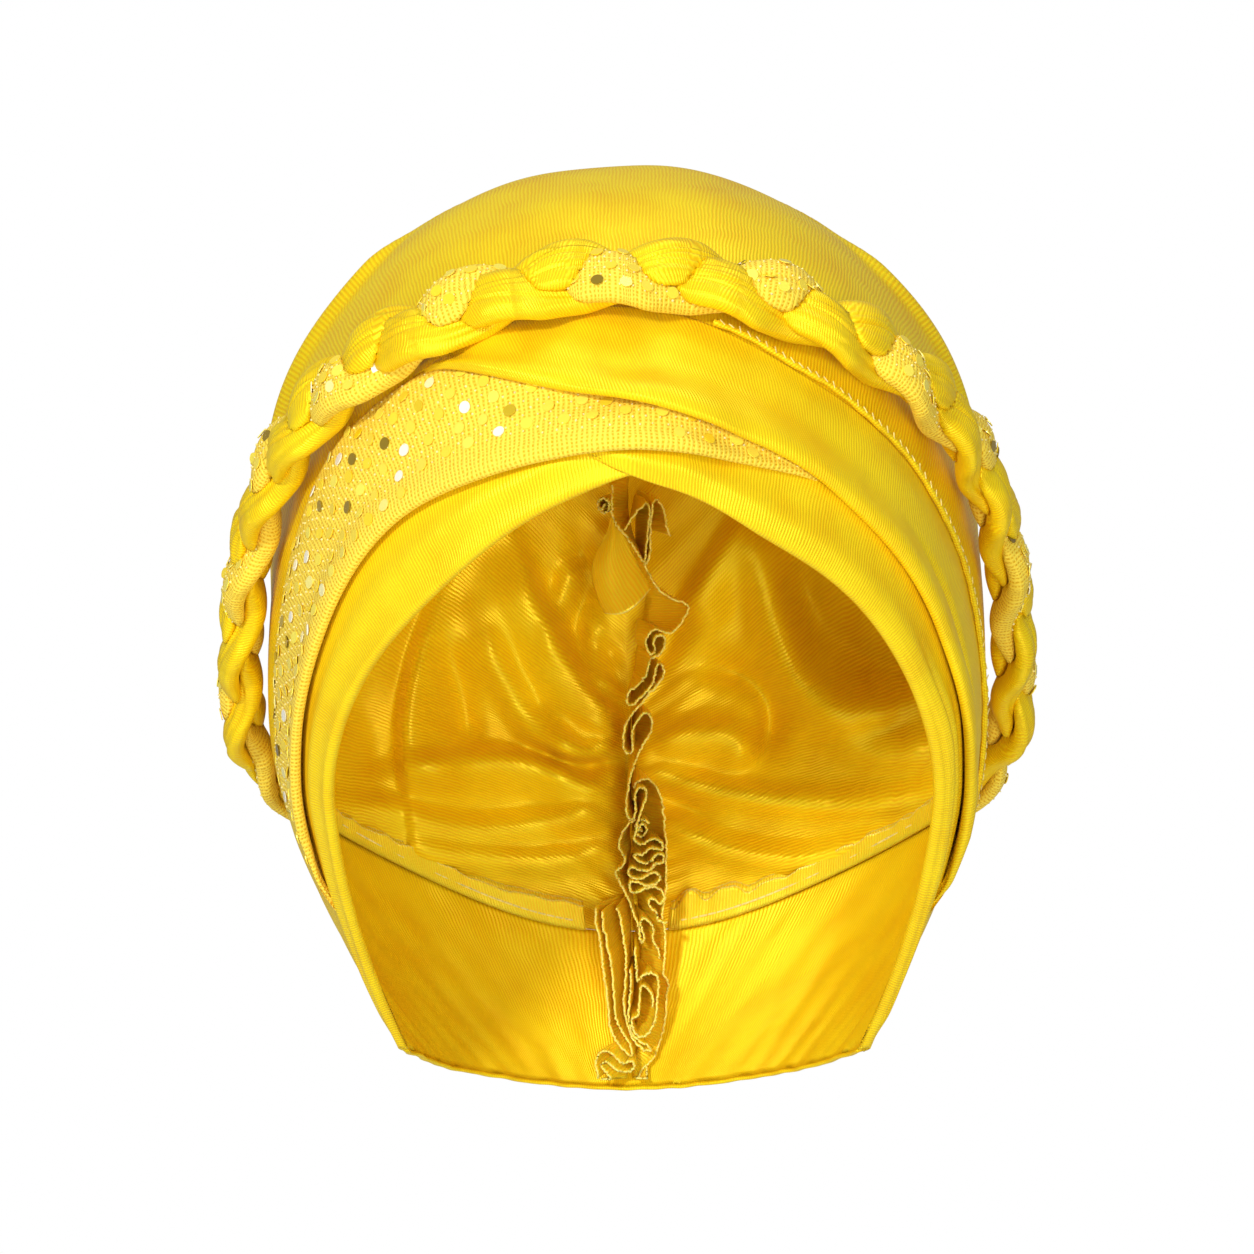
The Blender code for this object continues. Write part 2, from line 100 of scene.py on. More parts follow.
def smooth(low: float, high: float, value: Array) -> Array:
    """0 below low, 1 above high and an S between them."""
    share = np.clip((value - low) / (high - low), 0, 1)
    return share * share * (3 - 2 * share)


def bell(distance: Array, half_width: float) -> Array:
    """1 at no distance, falling off to both sides."""
    return np.exp(-((distance / half_width) ** 2))


def unit(vectors: Array) -> Array:
    """The vectors at length 1."""
    return vectors / np.maximum(np.linalg.norm(vectors, axis=-1, keepdims=True), 1e-9)


def between(grid: Array, row: Array, column: Array) -> Array:
    """A grid's values at places between its rows and columns."""
    i = np.clip(np.floor(row).astype(int), 0, grid.shape[0] - 2)
    j = np.clip(np.floor(column).astype(int), 0, grid.shape[1] - 2)
    extra = (1,) * (grid.ndim - 2)
    a, b = (row - i).reshape(row.shape + extra), (column - j).reshape(column.shape + extra)
    low = grid[i, j] * (1 - b) + grid[i, j + 1] * b
    high = grid[i + 1, j] * (1 - b) + grid[i + 1, j + 1] * b
    return low * (1 - a) + high * a


def add_object(name: str, data: bpy.types.ID) -> Piece:
    """An object for a mesh, a lamp or a camera, in the scene."""
    made = bpy.data.objects.new(name, data)
    bpy.context.scene.collection.objects.link(made)
    return made


class Cubic:
    """A natural cubic through knots, for one or several columns of values."""

    def __init__(self, knots: Array, values: Array) -> None:
        """Fits the cubic.

        Args:
            knots: the places, in rising order.
            values: one row for each knot, with one or several columns.
        """
        self.knots = np.asarray(knots, float)
        self.values = np.asarray(values, float)
        count, step = len(self.knots), np.diff(self.knots)
        wide = step.reshape((-1,) + (1,) * (self.values.ndim - 1))
        rise = np.diff(self.values, axis=0) / wide
        matrix, right = np.eye(count), np.zeros_like(self.values)
        for i in range(1, count - 1):
            matrix[i, i - 1 : i + 2] = step[i - 1], 2 * (step[i - 1] + step[i]), step[i]
            right[i] = 6 * (rise[i] - rise[i - 1])
        self.bend = np.linalg.solve(matrix, right)

    def __call__(self, at: Array) -> Array:
        """The values at the places asked for, with the columns last."""
        at = np.clip(np.asarray(at, float), self.knots[0], self.knots[-1])
        i = np.clip(np.searchsorted(self.knots, at, side="right") - 1, 0, len(self.knots) - 2)
        extra = (1,) * (self.values.ndim - 1)
        step = (self.knots[i + 1] - self.knots[i]).reshape(at.shape + extra)
        past = (at - self.knots[i]).reshape(at.shape + extra)
        left = step - past
        cubic = (self.bend[i] * left**3 + self.bend[i + 1] * past**3) / (6 * step)
        start = self.values[i] / step - self.bend[i] * step / 6
        end = self.values[i + 1] / step - self.bend[i + 1] * step / 6
        return cubic + start * left + end * past


class Droop(NamedTuple):
    """A place where the rim hangs into the opening: where, how far and how wide in u."""

    u: float
    half_width: float
    depth: float


@dataclass(frozen=True)
class HeadForm:
    """The form that every piece of cloth lies on."""

    foot_curve: float = 1.7
    rim_shift: float = 1.8
    droops: tuple[Droop, ...] = (Droop(-0.27, 0.17, 0.05), Droop(0.17, 0.13, 0.045))
    droop_reach: float = 0.20
    half_arch: float = 240.0
    depth: float = 265.0
    arches: Cubic = field(
        default_factory=lambda: Cubic([a.v for a in ARCHES], [a[1:] for a in ARCHES])
    )

    def point(self, u: Array, v: Array) -> Array:
        """The form's point at u and v, in millimetres."""
        u, v = np.broadcast_arrays(np.asarray(u, float), np.asarray(v, float))
        half, widest, top, foot_half, foot, top_y, side_y, foot_y, power = np.moveaxis(
            self.arches(v), -1, 0
        )
        half, foot_half = np.maximum(half, 0), np.maximum(foot_half, 0)
        over = 0.5 * math.pi * np.sqrt((half**2 + (top - widest) ** 2) / 2)
        down = np.hypot(widest - foot, half - foot_half)
        turn = over / (over + down)
        along = np.abs(u)
        angle = 0.5 * math.pi * np.clip(along / turn, 0, 1)
        reach = (np.sin(angle) ** power + np.cos(angle) ** power) ** (-1 / power)
        below = np.maximum((along - turn) / (1 - turn), 0)
        upper = along <= turn
        narrowing = half + (foot_half - half) * below**self.foot_curve
        x = np.where(upper, half * reach * np.sin(angle), narrowing)
        z = np.where(
            upper, widest + (top - widest) * reach * np.cos(angle), widest + (foot - widest) * below
        )
        y = (
            top_y * (z - widest) * (z - foot) / ((top - widest) * (top - foot))
            + side_y * (z - top) * (z - foot) / ((widest - top) * (widest - foot))
            + foot_y * (z - top) * (z - widest) / ((foot - top) * (foot - widest))
        )
        droop = sum(d.depth * bell(u - d.u, d.half_width) for d in self.droops)
        shrink = 1 - droop * (1 - smooth(0, self.droop_reach, v))
        x = np.sign(u) * x * shrink + self.rim_shift * (1 - smooth(0, 0.4, v))
        return np.stack([x, y, widest + (z - widest) * shrink], axis=-1)

    def normal(self, u: Array, v: Array, step: float = 1e-3) -> Array:
        """The form's outward normal at u and v."""
        u, v = np.broadcast_arrays(np.asarray(u, float), np.asarray(v, float))
        side = np.where(u < 0, -1.0, 1.0)
        clear_u = side * np.maximum(np.abs(u), 2 * step)
        along = self.point(clear_u + step, v) - self.point(clear_u - step, v)
        back = self.point(clear_u, np.minimum(v + step, 1)) - self.point(
            clear_u, np.maximum(v - step, 0)
        )
        return unit(np.cross(along, back))

    def at(self, u: Array, v: Array, h: Array) -> Array:
        """The point at height h above the form, which runs on straight past the rim."""
        u, v = np.broadcast_arrays(np.asarray(u, float), np.asarray(v, float))
        inside = np.maximum(v, 0)
        points = self.point(u, inside)
        if (v < 0).any():
            slope = (self.point(u, 0 * v + 0.02) - self.point(u, 0 * v)) / 0.02
            points = points + np.minimum(v, 0)[..., None] * slope
        return points + np.asarray(h, float)[..., None] * self.normal(u, inside)

    def nape_seam(self, v: Array) -> Array:
        """u of the nape seam at v, which falls from beside the rim to the middle of the back."""
        v = np.asarray(v, float)
        height = -176.0 - 38.0 * smooth(0.35, 1.0, v)
        low, high = np.full_like(v, 0.3), np.full_like(v, 1.0)
        for _ in range(30):
            middle = (low + high) / 2
            above = self.point(middle, v)[..., 2] > height
            low, high = np.where(above, middle, low), np.where(above, high, middle)
        return (low + high) / 2


FORM = HeadForm()


class Noise:
    """Smooth random waves over two coordinates, the same on each run."""

    def __init__(self, seed: int, scale: float, octaves: int = 10) -> None:
        """Draws the waves.

        Args:
            seed: names the pattern.
            scale: about how long one wave is, in the coordinates' unit.
            octaves: how many waves are laid over each other.
        """
        draw = np.random.default_rng(seed)
        angle = draw.uniform(0, math.tau, octaves)
        rate = math.tau / scale * draw.uniform(0.5, 1.6, octaves)
        self.rates = np.stack([rate * np.cos(angle), rate * np.sin(angle)])
        self.phases = draw.uniform(0, math.tau, octaves)

    def __call__(self, a: Array, b: Array) -> Array:
        """A value about -1 to 1 for each pair of places."""
        a, b = np.broadcast_arrays(np.asarray(a, float), np.asarray(b, float))
        total = np.zeros(a.shape)
        for rate_a, rate_b, phase in zip(*self.rates, self.phases):
            total += np.sin(rate_a * a + rate_b * b + phase)
        return total / math.sqrt(len(self.phases)) / 1.4


class LayerStack:
    """How high the cloth already lies above the form, so that the next layer rests on it."""

    def __init__(self, ground: float) -> None:
        """Starts with the crown's outer face.

        Args:
            ground: that face's height above the form.
        """
        self.u = np.linspace(-1.0, 1.0, 1001)
        self.v = np.linspace(-0.03, 0.45, 241)
        self.height = np.full((len(self.v), len(self.u)), ground)

    @staticmethod
    def _spread(values: Array, cells: int, axis: int) -> Array:
        """The highest value within some cells along an axis."""
        result = values
        for shift in range(-cells, cells + 1):
            result = np.maximum(result, np.roll(values, shift, axis=axis))
        return result

    @staticmethod
    def _blur(values: Array, cells: int, axis: int) -> Array:
        """The values averaged over some cells along an axis, three times."""
        for _ in range(3):
            padded = np.concatenate(
                [np.repeat(values.take([0], axis), cells, axis), values,
                 np.repeat(values.take([-1], axis), cells, axis)], axis)
            total = np.cumsum(padded, axis)
            total = np.concatenate([np.zeros_like(total.take([0], axis)), total], axis)
            width = 2 * cells + 1
            size = values.shape[axis]
            values = (
                total.take(range(width, width + size), axis) - total.take(range(size), axis)
            ) / width
        return values

    def bed(self, stiffness: int) -> Array:
        """A bed for the next layer, which bridges steps over about stiffness cells."""
        high = self._spread(self._spread(self.height, stiffness, 0), stiffness, 1)
        return self._blur(self._blur(high, max(stiffness // 2, 1), 0), max(stiffness // 2, 1), 1)

    def read(self, grid: Array, u: Array, v: Array) -> Array:
        """A grid's value at u and v, between its cells."""
        row = (np.clip(v, self.v[0], self.v[-1]) - self.v[0]) / (self.v[1] - self.v[0])
        column = (np.clip(u, self.u[0], self.u[-1]) - self.u[0]) / (self.u[1] - self.u[0])
        return between(grid, row, column)

    def lay(self, near: Cubic, far: Cubic, span: tuple[float, float], top: Array) -> None:
        """Raises the stack to top between a band's edges.

        Args:
            near: v of the band's near edge for u.
            far: v of its far edge.
            span: u of its ends.
            top: the height of its upper face, on the stack's own grid.
        """
        u, v = self.u[None, :], self.v[:, None]
        inside = (v >= near(self.u)[None, :]) & (v <= far(self.u)[None, :])
        inside &= (u >= span[0]) & (u <= span[1])
        self.height = np.where(inside, np.maximum(self.height, top), self.height)


class Cloth:
    """A grid of points of one sheet, with its flat pattern in millimetres."""

    def __init__(self, points: Array, sewn: bool = False) -> None:
        """Measures the sheet.

        Args:
            points: rows and columns of points, in millimetres.
            sewn: whether the halves of the last row are one edge.
        """
        self.points = points
        self.sewn = sewn
        rows, columns = points.shape[:2]
        along = np.linalg.norm(np.diff(points, axis=1), axis=2)
        across = np.linalg.norm(np.diff(points, axis=0), axis=2)
        run = np.concatenate([[0], np.cumsum(along[rows // 2])])
        rise = np.concatenate([np.zeros((1, columns)), np.cumsum(across, axis=0)])
        self.pattern = np.stack([np.broadcast_to(run, (rows, columns)), rise], axis=-1)
        self.length = float(run[-1])

    def sample(self, row: Array, column: Array) -> tuple[Array, Array]:
        """Points and outward normals between the grid's rows and columns."""
        normals = unit(np.cross(np.gradient(self.points, axis=1), np.gradient(self.points, axis=0)))
        return between(self.points, row, column), unit(between(normals, row, column))

    def numbered(self) -> Array:
        """The grid with its points' numbers."""
        rows, columns = self.points.shape[:2]
        return np.arange(rows * columns).reshape(rows, columns)

    def skin(self, name: str, index: Array, caps: tuple[list[int], ...] = ()) -> Piece:
        """A mesh over the grid, with the flat pattern as its UV map.

        Args:
            name: the piece's name.
            index: the number of the point at each row and column, the same where edges are joined.
            caps: further faces, by those numbers.

        Returns:
            The piece.
        """
        faces, places = (
            np.stack([g[:-1, :-1], g[:-1, 1:], g[1:, 1:], g[1:, :-1]], axis=-1).reshape(-1, 4)
            for g in (index, self.numbered())
        )
        keep, inverse = np.unique(faces, return_inverse=True)
        mesh = bpy.data.meshes.new(name)
        points = self.points.reshape(-1, 3)[keep] * MM
        mesh.from_pydata(points.tolist(), [], [*inverse.reshape(-1, 4).tolist(), *caps])
        uv = mesh.uv_layers.new(name="pattern")
        flat = np.zeros((len(uv.data), 2))
        flat[: places.size] = self.pattern.reshape(-1, 2)[places.ravel()]
        uv.data.foreach_set("uv", flat.ravel())
        mesh.shade_smooth()
        return add_object(name, mesh)

    def build(self, name: str, thickness: float, offset: float = -1.0) -> Piece:
        """The sheet with its thickness.

        Args:
            name: the piece's name.
            thickness: of the cloth, in millimetres.
            offset: -1 keeps the grid as the outer face, 0 as the middle of the cloth.

        Returns:
            The piece, with a Solidify modifier.
        """
        index = self.numbered()
        if self.sewn:
            half = index.shape[1] // 2
            index[-1, -half:] = index[-1, :half][::-1]
        piece = self.skin(name, index)
        solidify = piece.modifiers.new("thickness", "SOLIDIFY")
        solidify.thickness = thickness * MM
        solidify.offset = offset
        return piece


def linear(hex_colour: str) -> tuple[float, float, float, float]:
    """An sRGB hex colour as linear light, with alpha 1."""
    values = [int(hex_colour[i : i + 2], 16) / 255 for i in (1, 3, 5)]
    light = [c / 12.92 if c <= 0.04045 else ((c + 0.055) / 1.055) ** 2.4 for c in values]
    return (*light, 1.0)


def feed(tree: Tree, node: bpy.types.Node, inputs: dict) -> None:
    """Gives a node's inputs, by name or place, their values or the sockets that feed them."""
    for name, value in inputs.items():
        if isinstance(value, Socket):
            tree.links.new(value, node.inputs[name])
        else:
            node.inputs[name].default_value = value


def add_node(tree: Tree, kind: str, inputs: dict | None = None, **settings) -> bpy.types.Node:
    """Adds a node with its settings, values and links.

    Args:
        tree: the node tree.
        kind: the node's type name.
        inputs: for each input's name or place, a value or the socket that feeds it.
        **settings: the node's own properties.

    Returns:
        The node.
    """
    node = tree.nodes.new(kind)
    for name, value in settings.items():
        setattr(node, name, value)
    feed(tree, node, inputs or {})
    return node


def ramp(tree: Tree, value: Socket, stops: list) -> Socket:
    """Turns a value into a colour along stops of (place, linear colour)."""
    node = add_node(tree, "ShaderNodeValToRGB", {"Fac": value})
    elements = node.color_ramp.elements
    while len(elements) < len(stops):
        elements.new(0.5)
    for element, (place, colour) in zip(elements, stops):
        element.position = place
        element.color = colour
    return node.outputs["Color"]


def weigh(tree: Tree, base: Socket | float, *parts: tuple[Socket, float]) -> Socket:
    """A base value with further values added to it, each times its weight."""
    for value, weight in parts:
        base = add_node(
            tree, "ShaderNodeMath", {0: value, 1: weight, 2: base}, operation="MULTIPLY_ADD"
        ).outputs["Value"]
    return base


def wave(tree: Tree, place: Socket, pitch: float) -> Socket:
    """0 to 1 and back once in each pitch."""
    turned = weigh(tree, 0.0, (place, math.tau / pitch))
    sine = add_node(tree, "ShaderNodeMath", {0: turned}, operation="SINE").outputs["Value"]
    return weigh(tree, 0.5, (sine, 0.5))


class Finish:
    """A material made in nodes, from what the real one is."""

    name: str = "finish"

    def shader(self, tree: Tree, shader: bpy.types.Node) -> None:
        """Feeds the shader's inputs."""
        raise NotImplementedError

    def material(self) -> bpy.types.Material:
        """The finish's material, made once."""
        found = bpy.data.materials.get(self.name)
        if found:
            return found
        made = bpy.data.materials.new(self.name)
        made.use_nodes = True
        tree = made.node_tree
        self.shader(tree, tree.nodes["Principled BSDF"])
        return made


@dataclass(frozen=True)
class SatinKnit(Finish):
    """Milk-silk satin: a shiny polyester weft knit whose fine ribs stand up from its grooves.

    The filaments lie side by side in each rib, which gives a soft, wide highlight and a deeper,
    warmer yellow where the cloth turns away or lies in its own shade. The grooves between the ribs
    are also painted towards the deep colour as painted shade, and the rib tops towards the bright one
    as painted light.
    """

    name: str = "milk_silk_satin_knit"
    bright: str = "#FFE218"
    deep: str = "#F2BC06"
    roughness: float = 0.38
    sheen: float = 0.03
    rib_pitch: float = 0.90  # mm from rib to rib
    rib_depth: float = 0.08  # mm
    thread_pitch: float = 0.55  # mm between the stitches along a rib
    slope: float = 0.0  # how far the ribs lean, as mm along for each mm across
    fray: float = 0.0  # mm of pale filaments along a raw edge
    index: float = 1.5
    lustre: float = 0.24  # share of light that the dyed filaments send back as a coloured gleam
    glow: float = 0.0  # share of light that comes through the cloth

    def shader(self, tree: Tree, shader: bpy.types.Node) -> None:
        """Ribs, stitches and a slow wander of colour, with painted shade in the rib grooves and painted
        light on the rib tops.
        """
        pattern = add_node(tree, "ShaderNodeUVMap", uv_map="pattern").outputs["UV"]
        split = add_node(tree, "ShaderNodeSeparateXYZ", {"Vector": pattern}).outputs
        wander = add_node(
            tree, "ShaderNodeTexNoise", {"Vector": pattern, "Scale": 0.06, "Detail": 3.0}
        ).outputs["Fac"]
        grain = add_node(
            tree, "ShaderNodeTexNoise", {"Vector": pattern, "Scale": 1.7, "Detail": 2.0}
        ).outputs["Fac"]
        leaning = weigh(tree, split["X"], (wander, 3.0), (split["Y"], self.slope))
        rib = wave(tree, leaning, self.rib_pitch)
        thread = wave(tree, split["Y"], self.thread_pitch)
        height = weigh(tree, rib, (thread, 0.22), (grain, 0.5))
        bump = add_node(
            tree, "ShaderNodeBump", {"Height": height, "Distance": self.rib_depth * MM, "Strength": 1.0}
        )
        # the wander is the knit's own uneven colour; the rib term is painted shade in the grooves and
        # painted light on the rib tops
        tone = weigh(tree, wander, (rib, 0.55))
        colour = ramp(tree, tone, [(0.35, linear(self.deep)), (1.0, linear(self.bright))])
        if self.fray:
            colour = self._frayed(tree, split["Y"], colour)
        feed(tree, shader, {
            "Base Color": colour,
            "Normal": bump.outputs["Normal"],
            "Roughness": self.roughness,
            "IOR": self.index,
            "Metallic": self.lustre,
            "Subsurface Weight": self.glow,
            "Subsurface Radius": (1.0, 0.6, 0.1),
            "Subsurface Scale": 1.5 * MM,
            "Sheen Weight": self.sheen,
            "Sheen Roughness": 0.4,
            "Sheen Tint": linear("#FFE36B"),
            "Specular Tint": linear("#FFEC9E"),
        })

    def _frayed(self, tree: Tree, across: Socket, colour: Socket) -> Socket:
        """Pale cut filaments along the raw edge, where the pattern starts."""
        near = add_node(
            tree, "ShaderNodeMapRange",
            {"Value": across, "From Min": self.fray, "From Max": 0.4 * self.fray},
        ).outputs["Result"]
        pale = {"Factor": near, 6: colour, 7: linear("#FFE873")}
        return add_node(tree, "ShaderNodeMix", pale, data_type="RGBA").outputs[2]


@dataclass(frozen=True)
class SequinNet(Finish):
    """A knitted polyester net over satin: pale cords cross at right angles over deeper holes, painted
    darker as the shade in them.
    """

    name: str = "sequined_net_knit"
    cord: str = "#FFE250"
    # painted shade: the holes are painted darker than the cords, as the shade that lies in them
    hole: str = "#DDA406"
    pitch: float = 1.35  # mm between cords
    depth: float = 0.14  # mm

    def shader(self, tree: Tree, shader: bpy.types.Node) -> None:
        """Two crossing sets of cords, uneven as a knit is."""
        pattern = add_node(tree, "ShaderNodeUVMap", uv_map="pattern").outputs["UV"]
        uneven = add_node(
            tree, "ShaderNodeTexNoise", {"Vector": pattern, "Scale": 0.25, "Detail": 2.0}
        ).outputs["Color"]
        moved = add_node(
            tree, "ShaderNodeVectorMath", {0: uneven, 1: (1.3, 1.3, 0.0), 2: pattern},
            operation="MULTIPLY_ADD",
        ).outputs["Vector"]
        split = add_node(tree, "ShaderNodeSeparateXYZ", {"Vector": moved}).outputs
        over = wave(tree, split["X"], self.pitch)
        under = weigh(tree, 0.0, (wave(tree, split["Y"], self.pitch * 0.8), 0.55))
        cords = add_node(
            tree, "ShaderNodeMath", {0: over, 1: under}, operation="MAXIMUM"
        ).outputs["Value"]
        grain = add_node(
            tree, "ShaderNodeTexNoise", {"Vector": pattern, "Scale": 1.3, "Detail": 2.0}
        ).outputs["Fac"]
        height = weigh(tree, cords, (grain, 0.7))
        bump = add_node(
            tree, "ShaderNodeBump", {"Height": height, "Distance": self.depth * MM, "Strength": 1.0}
        )
        feed(tree, shader, {
            # low places take the hole colour as painted shade; the grain noise is the knit's own uneven
            # tone
            "Base Color": ramp(tree, height, [(0.35, linear(self.hole)), (1.0, linear(self.cord))]),
            "Normal": bump.outputs["Normal"],
            "Roughness": 0.5,
            "Specular Tint": linear("#FFDF5E"),
            "Sheen Weight": 0.12,
            "Sheen Roughness": 0.45,
            "Sheen Tint": linear("#FFE98C"),
        })


@dataclass(frozen=True)
class SequinFoil(Finish):
    """Vacuum-metallised PET film punched into discs.

    Each disc would mirror one small part of what is around it; that mirror is painted instead, so
    each disc gets one flat tone, dark, yellow or nearly white, picked at random as a painted
    reflection, under a clear gloss.
    """

    name: str = "sequin_foil"
    # painted reflections: the dark and the nearly white tones stand in for what each disc would mirror
    painted_reflection_tones: tuple[tuple[float, str], ...] = (
        (0.0, "#7A6208"), (0.05, "#9C8010"), (0.08, "#FFDD22"), (0.86, "#FFEF5A"), (0.95, "#FFFCEA"),
    )

    def shader(self, tree: Tree, shader: bpy.types.Node) -> None:
        """A random number per disc, named shade, picks its tone, a painted reflection."""
        shade = add_node(
            tree, "ShaderNodeAttribute", attribute_name="shade", attribute_type="GEOMETRY"
        ).outputs["Fac"]
        stops = [(place, linear(colour)) for place, colour in self.painted_reflection_tones]
        feed(tree, shader, {
            "Base Color": ramp(tree, shade, stops),
            "Metallic": 0.15,
            "Roughness": 0.25,
            "Coat Weight": 0.4,
            "Coat Roughness": 0.05,
        })


@dataclass(frozen=True)
class Thread(Finish):
    """Spun polyester sewing thread, pale beside the satin and a little fuzzy."""

    name: str = "polyester_thread"
    colour: str = "#FFE98C"
    roughness: float = 0.6

    def shader(self, tree: Tree, shader: bpy.types.Node) -> None:
        """A twist of fibres, with a slight change of tone along it."""
        place = add_node(tree, "ShaderNodeTexCoord").outputs["Object"]
        fibre = add_node(
            tree, "ShaderNodeTexNoise", {"Vector": place, "Scale": 900.0, "Detail": 2.0}
        ).outputs["Fac"]
        pale = linear(self.colour)
        dark = tuple(c * 0.72 for c in pale[:3]) + (1.0,)
        colour = ramp(tree, fibre, [(0.35, dark), (0.6, pale)])
        feed(tree, shader, {"Base Color": colour, "Roughness": self.roughness, "Sheen Weight": 0.3})


class Lay(Enum):
    """Which way the knit's ribs lean on a piece of cloth, as mm along for each mm across."""

    ACROSS = 0.0
    LEANING = 0.35
    CONTRARY = -0.3


SATIN = {lay: SatinKnit(name=f"milk_silk_satin_{lay.name.lower()}", slope=lay.value) for lay in Lay}
NET = SequinNet()
FOIL = SequinFoil()
THREAD = Thread()
PALE_THREAD = Thread(name="net_thread_knots", colour="#FFF0A0", roughness=0.45)


def fit_out(piece: Piece, finish: Finish, slot: str, *nodes: str) -> Piece:
    """Dresses a piece, rides it on the hat and puts it in its nodes' place.

    Args:
        piece: the piece.
        finish: its finish.
        slot: the record's material slot; it is not used.
        *nodes: the CAD nodes that it stands for.

    Returns:
        The piece.
    """
    piece.data.materials.clear()
    piece.data.materials.append(finish.material())
    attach(piece, BODY)
    if nodes:
        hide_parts(*nodes)
    LOG.info("%s: %d vertices", piece.name, len(piece.data.vertices))
    return piece


class Repeats(Enum):
    """The small thing that is repeated: how many sides its cylinder has, or 0 for a ball."""

    DISC = 14
    KNOT = 0
    STITCH = 6


@dataclass
class Scatter:
    """Repeats one small thing over points, with Geometry Nodes."""

    name: str
    shape: Repeats
    radius: float
    length: float
    tilt: float
    seed: int
    finish: Finish
    slot: str = "satin"

    def _shape(self, tree: Tree, radius: Socket, length: Socket) -> Socket:
        """The mesh of one repeat."""
        if self.shape is Repeats.KNOT:
            ball = {"Radius": radius, "Subdivisions": 1}
            return add_node(tree, "GeometryNodeMeshIcoSphere", ball).outputs["Mesh"]
        rod = {"Vertices": self.shape.value, "Radius": radius, "Depth": length}
        return add_node(tree, "GeometryNodeMeshCylinder", rod).outputs["Mesh"]

    def tree(self) -> Tree:
        """The node tree, with the sizes as named inputs."""
        tree = bpy.data.node_groups.new(f"{self.name}_repeats", "GeometryNodeTree")
        kinds = {"Radius": "Float", "Length": "Float", "Tilt": "Float", "Seed": "Int"}
        for name, kind in {"Geometry": "Geometry", **kinds}.items():
            tree.interface.new_socket(name, in_out="INPUT", socket_type=f"NodeSocket{kind}")
        tree.interface.new_socket("Geometry", in_out="OUTPUT", socket_type="NodeSocketGeometry")
        given = tree.nodes.new("NodeGroupInput").outputs
        facing, size = (
            add_node(
                tree, "GeometryNodeInputNamedAttribute", {"Name": name}, data_type=kind
            ).outputs["Attribute"]
            for name, kind in (("facing", "FLOAT_VECTOR"), ("size", "FLOAT"))
        )
        low = weigh(tree, 0.0, (given["Tilt"], -1.0))
        spread = []
        for step in range(2):
            seed = weigh(tree, float(step), (given["Seed"], 1.0))
            limits = {2: low, 3: given["Tilt"], "Seed": seed}
            spread.append(add_node(tree, "FunctionNodeRandomValue", limits, data_type="FLOAT").outputs[1])
        lean = add_node(tree, "ShaderNodeCombineXYZ", {"X": spread[0], "Y": spread[1]})
        lean = add_node(tree, "FunctionNodeEulerToRotation", {"Euler": lean.outputs["Vector"]})
        turned = add_node(tree, "FunctionNodeAlignRotationToVector", {"Vector": facing}, axis="Z")
        turned = add_node(
            tree, "FunctionNodeRotateRotation",
            {"Rotation": turned.outputs["Rotation"], "Rotate By": lean.outputs["Rotation"]},
            rotation_space="LOCAL",
        )
        placed = add_node(tree, "GeometryNodeInstanceOnPoints", {
            "Points": given["Geometry"],
            "Instance": self._shape(tree, given["Radius"], given["Length"]),
            "Rotation": turned.outputs["Rotation"],
            "Scale": size,
        })
        real = add_node(
            tree, "GeometryNodeRealizeInstances", {"Geometry": placed.outputs["Instances"]}
        )
        dressed = add_node(
            tree, "GeometryNodeSetMaterial",
            {"Geometry": real.outputs["Geometry"], "Material": self.finish.material()},
        )
        add_node(tree, "NodeGroupOutput", {"Geometry": dressed.outputs["Geometry"]})
        return tree

    def over(self, points: Array, normals: Array, values: dict[str, Array]) -> Piece:
        """Repeats the shape over the points and makes the result a plain mesh.

        Args:
            points: places, in millimetres.
            normals: where each repeat faces.
            values: further numbers for each point; size scales its repeat.

        Returns:
            The piece.
        """
        mesh = bpy.data.meshes.new(f"{self.name}_points")
        mesh.from_pydata((points * MM).tolist(), [], [])
        facing = mesh.attributes.new("facing", "FLOAT_VECTOR", "POINT")
        facing.data.foreach_set("vector", np.asarray(normals, float).ravel())
        for key, numbers in {"size": np.ones(len(points)), **values}.items():
            attribute = mesh.attributes.new(key, "FLOAT", "POINT")
            attribute.data.foreach_set("value", np.asarray(numbers, float))
        base = add_object(mesh.name, mesh)
        grow = base.modifiers.new("repeats", "NODES")
        grow.node_group = self.tree()
        sizes = {"Radius": self.radius * MM, "Length": self.length * MM}
        sizes |= {"Tilt": self.tilt, "Seed": self.seed}
        for item in grow.node_group.interface.items_tree:
            if item.in_out == "INPUT" and item.name in sizes:
                grow[item.identifier] = sizes[item.name]
        evaluated = base.evaluated_get(bpy.context.evaluated_depsgraph_get())
        made = bpy.data.meshes.new_from_object(evaluated)
        made.name = self.name
        bpy.data.objects.remove(base)
        return fit_out(add_object(self.name, made), self.finish, self.slot)


class Crease(NamedTuple):
    """A fold line in a plane of millimetres: a ridge, or a hollow where its height is negative.

    crisp is how wide it is on its left side, and soft on its right.
    """

    path: tuple[tuple[float, float], ...]
    height: float
    crisp: float
    soft: float


